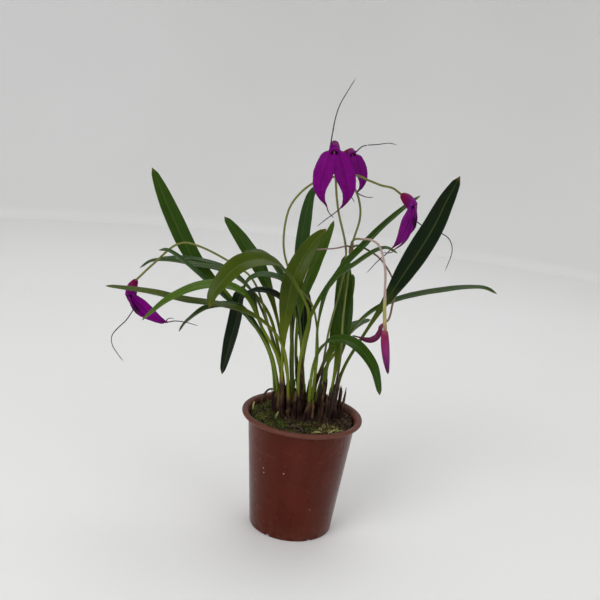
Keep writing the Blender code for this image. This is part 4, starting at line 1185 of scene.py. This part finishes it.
# Sepals in a bloom's own frame: across, up and out of the mouth, then the width there.
SPREAD = [(1.6, 1.5, -3.5, 4.6), (3.4, -1.0, 0.2, 11.2), (4.9, -6.5, 1.6, 14.8),
          (5.9, -10.5, 2.0, 16.2), (7.0, -14.5, 2.2, 16.4), (8.5, -19.5, 2.0, 14.0),
          (9.3, -25, 1.4, 10.4), (7.9, -31.5, -0.6, 5.6), (5.3, -36.2, -3.4, 1.9)]
CLOSE = [(1.6, 1.5, -3.5, 4.0), (2.0, -1.0, 0.2, 8.6), (2.5, -6.5, 1.6, 13.2),
         (3.0, -10.5, 2.0, 15.4), (3.5, -14.5, 2.2, 16.0), (4.0, -19.5, 2.0, 14.0),
         (4.2, -25, 1.4, 10.4), (3.6, -31.5, -0.6, 5.6), (2.5, -36.2, -3.4, 1.9)]
ERECT = [(0, 1.6, -3.5, 5.0), (-0.2, 2.9, -0.6, 5.8), (-1.2, 4.8, 0.6, 3.4), (-2.4, 6.6, 1.0, 1.5)]
LEANING = [(0, 1.6, -3.5, 5.0), (0.6, 2.8, -0.6, 5.8), (2.6, 3.8, 0.5, 3.4), (4.6, 5.0, 0.4, 1.5)]
HOODED = [(0, 1.6, -3.5, 5.0), (0, 2.2, 0.4, 6.4), (0, -0.5, 2.4, 5.4), (0, -4.5, 4.2, 3.4),
          (0, -8.6, 5.4, 1.5)]
TUBE = [(0, 0, 0.2, 4.1), (0, 1.9, -3.2, 3.9), (0, 4.0, -7.5, 3.5), (0, 5.2, -12.0, 2.9)]
DEEP_TUBE = [(0, 0, 0.2, 4.5), (0, 1.9, -3.2, 4.8), (0, 3.9, -7.2, 4.4), (0, 4.9, -10.5, 3.4)]
THROAT = [(0, -0.6, 1.6, 2.5), (0, 0.4, -0.6, 2.2), (0, 1.9, -3.2, 1.9), (0, 3.6, -6.8, 1.5)]
# Mouth of the tube, direction of the dorsal sepal, direction the mouth faces, size, end of the
# ovary, dorsal sepal, and tails of the dorsal, left and right sepals.
BLOOMS = {
    "bloom_a": ((1.3, -22, 283), (-0.1, 0, 1), (0, -1, 0), 1.0, (1.2, -4.9, 284.7), ERECT,
                SPREAD, [(-1.5, -19, 297), (-0.8, -18, 305.8), (1.1, -18, 314.7),
                         (4.9, -20, 323.6), (10, -24, 334)],
                [(2, -22, 243.5), (6, -23, 240)],
                [(6, -27, 244), (0, -27, 238.5), (-5, -26, 233)]),
    "bloom_b": ((14.6, 20, 280), (-0.12, 0.08, 0.98), (0.15, -0.98, 0.1), 0.72, (6.1, 33.4, 278.8),
                LEANING, SPREAD,
                [(20.3, 22.5, 287), (24.4, 25, 288.4), (31.7, 26, 289.7), (39.9, 26, 291.5),
                 (45.8, 25, 290.7)],
                [(18, 18, 250), (20, 18, 247)],
                [(24.5, 17, 253), (29, 14, 252.5), (33, 12, 253.5)]),
    "bloom_c": ((60.6, 4, 250.6), (0.2, 0, 0.98), (0.8, -0.55, -0.16), 0.9, (51.6, 10, 257.7),
                HOODED, CLOSE,
                [(67, 0, 239.5), (73, 0, 237), (82, 0, 235), (89, 0, 231), (92, 0, 222),
                 (89, 2, 206)],
                [(46, -4, 216.5), (40, -8, 211), (33, -12, 202)],
                [(50, 11, 215), (44, 13, 214)]),
    "bloom_d": ((-132, -9, 165.8), (-0.79, 0, 0.61), (-0.5, -0.75, -0.5), 0.88,
                (-129.8, -4, 176.3), HOODED, CLOSE,
                [(-129.5, -16.5, 154.5), (-132.5, -18, 149.3), (-138, -18, 143),
                 (-141.6, -18, 137), (-141, -18, 130.5), (-137, -17, 124), (-131.7, -16, 117.3)],
                [(-105, 1, 149.5), (-101, 2, 149.5)],
                [(-98, -12, 151.8), (-90, -13, 152), (-80.6, -14, 150.7)]),
}
PURPLE, PURPLE_DARK = srgb(118, 0, 118), srgb(70, 0, 68)
TUBE_RED, KNOB_RED, TAIL_GREY = srgb(112, 2, 66), srgb(92, 24, 26), srgb(56, 24, 50)
# Petal, tube and knob colours of each bloom. Those of bloom_b are a slightly darker copy, painted
# shade; those of bloom_c are a lighter copy, painted light.
BLOOM_COLOURS = {
    "bloom_a": (PURPLE, srgb(112, 2, 88), srgb(100, 4, 74)),
    "bloom_b": (srgb(112, 2, 112), srgb(106, 8, 50), KNOB_RED),
    "bloom_c": (srgb(130, 22, 130), srgb(118, 4, 70), srgb(112, 10, 46)),
    "bloom_d": (PURPLE, TUBE_RED, srgb(96, 10, 46)),
}


def bloom_frame(mouth, up, out):
    """Matrix from a bloom's own axes (across, up, out of the mouth) to the object's."""
    up = Vector(up).normalized()
    out = square_to(up, out)
    turn = Matrix((up.cross(out), up, out)).transposed().to_4x4()
    return Matrix.Translation(Vector(mouth) * MM) @ turn


def placed(turn, rows, size, mirror=1):
    """Rows of (across, up, out, width) in a bloom's axes, as places and widths in mm."""
    made = []
    for across, up, out, width in rows:
        place = turn @ (Vector((mirror * across, up, out)) * size * MM) / MM
        made.append((*place, width * size))
    return made


def petal(turn, rows, size, tail, sweep, mirror, seed):
    """Loft of one sepal with its tail, and its midline for marking the finished skin."""
    rows = placed(turn, rows, size, mirror)
    dense = smooth_route(rows + [(*point, 2 * TAIL_RADIUS) for point in tail], False)
    run = length_along(dense)
    blade_end = run[24 * (len(rows) - 1)]
    across = turn.to_3x3() @ Vector((1.0, 0.12 * mirror, -sweep * mirror))
    stations = list(np.arange(0, blade_end, 0.8 * MM))
    stations += list(np.linspace(blade_end, run[-1], int((run[-1] - blade_end) / (1.2 * MM))))
    rings, midline = [], []
    for station in stations:
        place, direction, width = on_route(dense, run, station, 1.5, 1.5)
        side = square_to(direction, across)
        upper = side.cross(direction)
        half = max(width / 2, 0.3 * MM)
        if station > blade_end:
            past = (station - blade_end) / (run[-1] - blade_end)
            half = TAIL_RADIUS * MM * (1.15 - 0.45 * past)
            half *= max(0.3, min(1.0, (1 - past) * 12)) ** 0.5
        thin = min(SEPAL_THICKNESS * MM / 2, half)
        flat = half > 1.6 * thin
        ring = []
        for angle in angles_of(20):
            c, s = math.cos(angle), math.sin(angle)
            wave = noise.noise(Vector((station / (5 * MM), c * 1.5, seed))) * half * 0.07
            blunt = math.copysign(abs(s) ** (0.55 if flat else 1.0), s)
            lift = thin * blunt * (1 - 0.25 * abs(c) ** 3 * flat) - 0.22 * abs(c) * half * flat
            lift += wave * c * c * flat
            ring.append(place + side * half * c + upper * lift)
        rings.append(ring)
        midline.append((place, side, half, station / blade_end))
    return ring_loft(rings), midline


def swept(name, rows, spacing=0.8, sides=20, look=None):
    """A round closed solid through (x, y, z, radius) rows in mm."""
    dense = smooth_route(rows, False)
    run = length_along(dense)
    side, rings = None, []
    for station in np.linspace(0, run[-1], max(8, int(run[-1] / (spacing * MM)))):
        place, direction, radius = on_route(dense, run, station, 0.8, 0.8)
        side = square_to(direction, direction.orthogonal() if side is None else side)
        other = direction.cross(side)
        rings.append([place + (side * math.cos(a) + other * math.sin(a)) * radius
                      for a in angles_of(sides)])
    return shaped(name, *ring_loft(rings), look)


def applied(piece, kind, **settings):
    """Applies one modifier to a piece, whose mesh is replaced by the result."""
    modifier = piece.modifiers.new("shape", kind)
    for name, value in settings.items():
        setattr(modifier, name, value)
    result = bpy.data.meshes.new_from_object(
        piece.evaluated_get(bpy.context.evaluated_depsgraph_get()))
    piece.modifiers.remove(modifier)
    piece.data = result


def mark_petals(piece, turn, midlines):
    """Writes where each point lies on its nearest sepal, and how deep it lies in the tube."""
    count = len(piece.data.vertices)
    points = np.empty(count * 3)
    piece.data.vertices.foreach_get("co", points)
    points = points.reshape(-1, 3)
    nearest = np.full(count, 1e9)
    marks = np.zeros((count, 3))
    for number, midline in enumerate(midlines):
        tree = kdtree.KDTree(len(midline))
        for k, (place, side, half, share) in enumerate(midline):
            tree.insert(place, k)
        tree.balance()
        for index, point in enumerate(points):
            co, k, distance = tree.find(point)
            if distance < nearest[index]:
                place, side, half, share = midline[k]
                nearest[index] = distance
                aside = float((Vector(point) - place).dot(side)) / half
                marks[index] = (aside, share, number)
    back = turn.inverted()
    mark(piece.data, "petal_place", marks.ravel(), "FLOAT_VECTOR", "vector")
    mark(piece.data, "tube_depth", [float((back @ Vector(p)).z) / MM for p in points])


def petal_skin():
    """Colour, roughness and relief of sepal tissue from the marks left by mark_petals."""
    tree, get, out = skin_group("petal skin", Petal=PURPLE, Tube=TUBE_RED, Knob=KNOB_RED)
    side, share, sepal = split(attribute(tree, "petal_place", "Vector"))
    depth = attribute(tree, "tube_depth")
    place = object_coordinates(tree)
    cloud = noise_value(place, 190.0)
    veins = noise_value(vector_of(side * 5.5, share * 1.6, sepal), 1.6, 3.0, 0.55)
    line = spread(abs(veins - 0.5), 0.06, 0.0)
    aside = abs(side)
    colour = blend_colour(line * 0.6, get["Petal"], PURPLE_DARK)
    colour = blend_colour(spread(cloud, 0.4, 0.7, 0.0, 0.5), colour, (1.35, 1.4, 1.3), "MULTIPLY")
    colour = blend_colour(spread(aside, 0.1, 0.0) * 0.5, colour, PURPLE_DARK)
    colour = blend_colour(spread(aside, 0.82, 1.0, 0.0, 0.75), colour, PURPLE_DARK)
    colour = blend_colour(spread(share, 0.78, 1.0) * 0.7, colour, PURPLE_DARK)
    colour = blend_colour(spread(depth, -1.0, -5.5), colour, get["Tube"])
    colour = blend_colour(spread(depth, -8.0, -13.5, 0.0, 0.9), colour, get["Knob"])
    colour = blend_colour(spread(share, 1.0, 1.16), colour, TAIL_GREY)
    lay_on(out, Color=colour, Roughness=spread(cloud, 0.3, 0.7, 0.42, 0.6),
           Height=noise_value(place, 2600.0, 1.0) * 0.35 + (1.0 - line) * 0.65)
    return tree


def bloom(name, mouth, up, out, size, ovary_end, dorsal, lateral, tails, look):
    """Sepals and tube are fused to one skin, and the throat is hollowed out of it."""
    turn = bloom_frame(mouth, up, out)
    rows = placed(turn, DEEP_TUBE if lateral is CLOSE else TUBE, size)
    last, before, end = (np.array(p[:3]) for p in (rows[-1], rows[-2], ovary_end))
    neck = last * 0.45 + end * 0.55 + (last - before) * 0.12
    parts = [swept(name + "_tube", rows + [(*neck, 2.4 * size), (*end, 1.1)])]
    midlines = []
    dorsal_tail, left_tail, right_tail = tails
    for number, (shape, share, tail, sweep, mirror) in enumerate((
            (dorsal, size, dorsal_tail, 0.22, 1), (lateral, size, right_tail, SEPAL_SWEEP, 1),
            (lateral, size * 0.96, left_tail, SEPAL_SWEEP, -1))):
        solid, midline = petal(turn, shape, share, tail, sweep, mirror, 3.1 * number)
        parts.append(shaped(name + "_sepal", *solid))
        midlines.append(midline)
    piece = joined("open_" + name, parts)
    throat = swept("throat", placed(turn, THROAT, size), sides=24)
    applied(piece, "REMESH", mode="VOXEL", voxel_size=PETAL_GRAIN * MM)
    applied(piece, "BOOLEAN", operation="DIFFERENCE", object=throat, solver="MANIFOLD")
    applied(piece, "REMESH", mode="VOXEL", voxel_size=PETAL_GRAIN * MM)
    applied(piece, "SMOOTH", factor=0.5, iterations=4)
    bpy.data.objects.remove(throat)
    mark_petals(piece, turn, midlines)
    finish_piece(recoloured(piece, look), [name])


def blooms():
    skin = petal_skin()
    for name, (mouth, up, out, size, ovary_end, dorsal, lateral, *tails) in BLOOMS.items():
        petals, tube, knob = BLOOM_COLOURS[name]
        plain = shader_of("sepal_purple_of_" + name, Specular_IOR_Level=0.07,
                          Subsurface_Weight=0.1, Subsurface_Scale=0.0012)
        look = skinned(*plain, skin, 0.4, Petal=petals, Tube=tube, Knob=knob)
        bloom(name, mouth, up, out, size, ovary_end, dorsal, lateral, tails, look)


blooms()

# Column: the small pale column inside the throat.
COLUMN = [(0, 3.3, -6.2, 0.7), (0, 1.8, -3.2, 0.9), (0, 0.7, -1.2, 0.6)]


def columns():
    look, tree, shader = shader_of("lip_cream", Roughness=0.45, Specular_IOR_Level=0.35)
    grain = noise_value(object_coordinates(tree), 700.0)
    skin = ramp(grain, (0.3, srgb(150, 78, 104)), (0.55, srgb(204, 156, 150)),
                (0.75, srgb(226, 196, 168)))
    lay_on(shader, Base_Color=skin, Normal=bump(grain, 0.3, 0.0002))
    for name, (mouth, up, out, size, *_) in BLOOMS.items():
        rows = placed(bloom_frame(mouth, up, out), COLUMN, size)
        heel, nose = Vector(rows[0][:3]), Vector(rows[-1][:3])
        ahead = (nose - heel).normalized()
        route = [(*(heel - ahead * 0.2), rows[0][3] * 0.4)] + rows[:-1]
        route += [(*(nose + ahead * step * size), rows[-1][3] * share)
                  for step, share in ((0.0, 1.0), (0.3, 0.8), (0.5, 0.3))]
        piece = swept("column_of_" + name, route, spacing=0.25, sides=16, look=look)
        finish_piece(piece, [name.replace("bloom", "column")])


columns()

# Bud: a closed flower that hangs from its pale ovary, with the seams of its three sepals.
# Each row is a place on its line and the radius there.
BUD_ROUTE = [(50.6, -25, 166.5, 1.9), (51, -25, 162, 2.7), (52.2, -25, 155, 3.0),
             (54.3, -25, 145, 2.4), (56.8, -25, 135, 0.8)]


def closed_look(name, *stops):
    """Petal tissue whose colour changes from the base to the tip, with fine seams."""
    look, tree, shader = shader_of(name, Roughness=0.45, Specular_IOR_Level=0.25,
                                   Subsurface_Weight=0.08, Subsurface_Scale=0.001)
    grain = noise_value(object_coordinates(tree, (900, 900, 140)), 1.0)
    skin = blend_colour(spread(grain, 0.4, 0.7, 0.0, 0.55),
                        ramp(attribute(tree, "run_share"), *stops), (0.6, 0.5, 0.6), "MULTIPLY")
    lay_on(shader, Base_Color=skin, Normal=bump(grain, 0.4, 0.0003))
    return look


def closed_flower(name, node, rows, spacing, sides, across, section, look):
    """Rings along (x, y, z, size) rows in mm, where section gives each point's offset."""
    dense = smooth_route(rows, False)
    run = length_along(dense)
    rings = []
    for station in np.linspace(0, run[-1], int(run[-1] / (spacing * MM))):
        place, direction, size = on_route(dense, run, station, 1.0, 1.0)
        side = square_to(direction, across)
        other = side.cross(direction)
        offsets = (section(station / run[-1], angle, size) for angle in angles_of(sides))
        rings.append([place + side * a + other * b for a, b in offsets])
    piece = shaped(name, *ring_loft(rings), look)
    last = len(rings) - 1
    mark(piece.data, "run_share", [k / last for k in range(len(rings)) for _ in range(sides)])
    finish_piece(piece, [node])


def bud_section(share, angle, radius):
    seam = 1 - 0.09 * math.exp(-((math.sin(1.5 * angle)) / 0.22) ** 2)
    close = min(1.0, (1 - share) * 14 + 0.12) ** 0.6 * min(1.0, share * 25 + 0.35) ** 0.5
    return radius * seam * close * math.cos(angle), radius * seam * close * math.sin(angle)


closed_flower("closed_bud", "bud_e", BUD_ROUTE, 0.6, 36, (0.2, 1.0, 0.2), bud_section,
              closed_look("bud_purple", (0.0, srgb(150, 70, 84)), (0.12, srgb(138, 22, 78)),
                          (0.45, srgb(138, 32, 108)), (0.8, srgb(98, 8, 92)),
                          (1.0, srgb(66, 2, 58))))

# Faded flower: an old bloom whose sepals have closed, wrinkled and curled to one side. Each
# row is a place on its line and the width there.
FADED_ROUTE = [(50.6, -12, 168, 1.8), (48.3, -12.5, 165, 3.0), (47.7, -13, 161.3, 3.8),
               (45.9, -13.5, 157.5, 4.2), (42, -14, 155.3, 4.0), (37.5, -14, 155.2, 2.8),
               (34, -14, 156.2, 1.2), (29, -14, 157, 0.9)]


def faded_section(share, angle, width):
    wrinkle = 1 + 0.12 * math.sin(5 * angle + 9 * share) + 0.05 * math.sin(11 * angle)
    thick = min(0.65 * MM, width / 2) * (1.0 if share < 0.6 else 0.8)
    close = min(1.0, (1 - share) * 20 + 0.2) ** 0.6 * min(1.0, share * 25 + 0.4) ** 0.5
    half = width / 2 * close
    rise = -0.3 * abs(math.cos(angle)) * half if share < 0.6 else 0.0
    return half * math.cos(angle) * wrinkle, thick * math.sin(angle) * wrinkle + rise


closed_flower("curled_bloom", "bloom_f", FADED_ROUTE, 0.5, 28, (-0.2, 0.35, 1.0), faded_section,
              closed_look("faded_purple", (0.0, srgb(120, 62, 70)), (0.2, srgb(108, 8, 72)),
                          (0.55, srgb(96, 4, 66)), (0.75, srgb(78, 16, 52)),
                          (1.0, srgb(72, 40, 52))))

# Moss and sphagnum: loose green strands at the left and in front, a pale curly tuft at the
# right front, and pale stubs of old stalks. They grow on the damp top of the mix.
MOSS_RADIUS = 37.3
MOSS_GREEN, MOSS_PALE, SPHAGNUM = srgb(88, 122, 30), srgb(158, 166, 76), srgb(168, 164, 98)
STUB_RADII = [0.35, 0.7, 0.8, 0.6, 0.35]
STUBS = [[(-36.3, 1.5, 85), (-37, 1, 88.5), (-36.6, 3.5, 92.5)],
         [(-19.5, -10, 85.5), (-18.6, -10.4, 88.5), (-17.4, -10.2, 92)],
         [(8, -30, 86), (11.5, -30.6, 87.6), (15, -29.6, 87.2)],
         [(20, -28.5, 86), (23.5, -26, 88.4), (27.5, -23.5, 87)]]


def moss():
    green = mix_look("moss_green", MOSS_PALE, MOSS_GREEN, srgb(30, 48, 10), 260.0, 0.8)
    pale = mix_look("sphagnum_pale", srgb(212, 208, 150), SPHAGNUM, srgb(112, 118, 56), 260.0, 0.8)
    left = patch("left_ground", lambda x, y: outside_rhizome(x, y, 0.9)
                 and math.hypot(x, y) < MOSS_RADIUS and x < -13 + 6 * math.sin(y / 5))
    strewn("moss_left", left, [strand(60 + k, 6.5, 0.2, 2.0, 2.2) for k in range(5)], green,
           spacing=1.6, sizes=(0.35, 1.1), tilt=1.0, seed=9)
    front = patch("front_ground", lambda x, y: outside_rhizome(x, y, 0.9)
                  and math.hypot(x, y) < MOSS_RADIUS and y < -8 and x < 12
                  and abs(math.sin(x / 6 + y / 9)) > 0.5)
    strewn("moss_front", front, [strand(70 + k, 5.0, 0.19, 2.2, 2.5) for k in range(4)], green,
           spacing=1.5, sizes=(0.4, 1.0), tilt=1.1, seed=10)
    right = patch("right_ground", lambda x, y: math.hypot(x, y) < MOSS_RADIUS
                  and math.hypot((x - 23) / 10, (y + 21) / 6.5) < 1)
    strewn("sphagnum", right, [strand(80 + k, 9.0, 0.42, 3.8, 3.0, 5, 14) for k in range(4)],
           pale, spacing=1.5, sizes=(0.35, 0.9), tilt=1.3, seed=12)
    stubs = [stalk("stub", route, STUB_RADII, pale, spacing=0.8, knobbiness=0.5, seed=k)
             for k, route in enumerate(STUBS)]
    finish_piece(joined("pale_stubs", stubs), crease=60)


moss()

# Stray roots: thin dark roots of the plant that loop out of the potting mix and back into it.
ROOT_RADII = [0.85, 0.8, 0.7, 0.4]
ROOTS = [[(-31, 19, 85.5), (-31.5, 21, 90), (-28, 24, 95.5), (-23, 24, 96), (-21, 23, 91),
          (-19, 22, 86)],
         [(-22, 23, 86), (-25, 24.5, 92), (-21, 26, 95), (-17.5, 25, 91), (-17, 24, 86)],
         [(-29, 15, 85), (-32, 17, 89.5), (-29, 20, 91.5), (-26, 18, 86)],
         [(29, -8, 85.5), (32, -9, 88.5), (33, -5, 88.8), (31, -1, 86)],
         [(-14, -24, 85.5), (-8, -28, 88.4), (-2, -27, 88.6), (3, -29, 86)]]
root_look = stalk_look("stray_root", srgb(70, 60, 48), srgb(46, 38, 30), srgb(104, 90, 66), 0.7)
roots = [stalk("root", route, ROOT_RADII, root_look, spacing=1.0, sides=8, knobbiness=0.5, seed=k)
         for k, route in enumerate(ROOTS)]
finish_piece(joined("stray_roots", roots), crease=60)
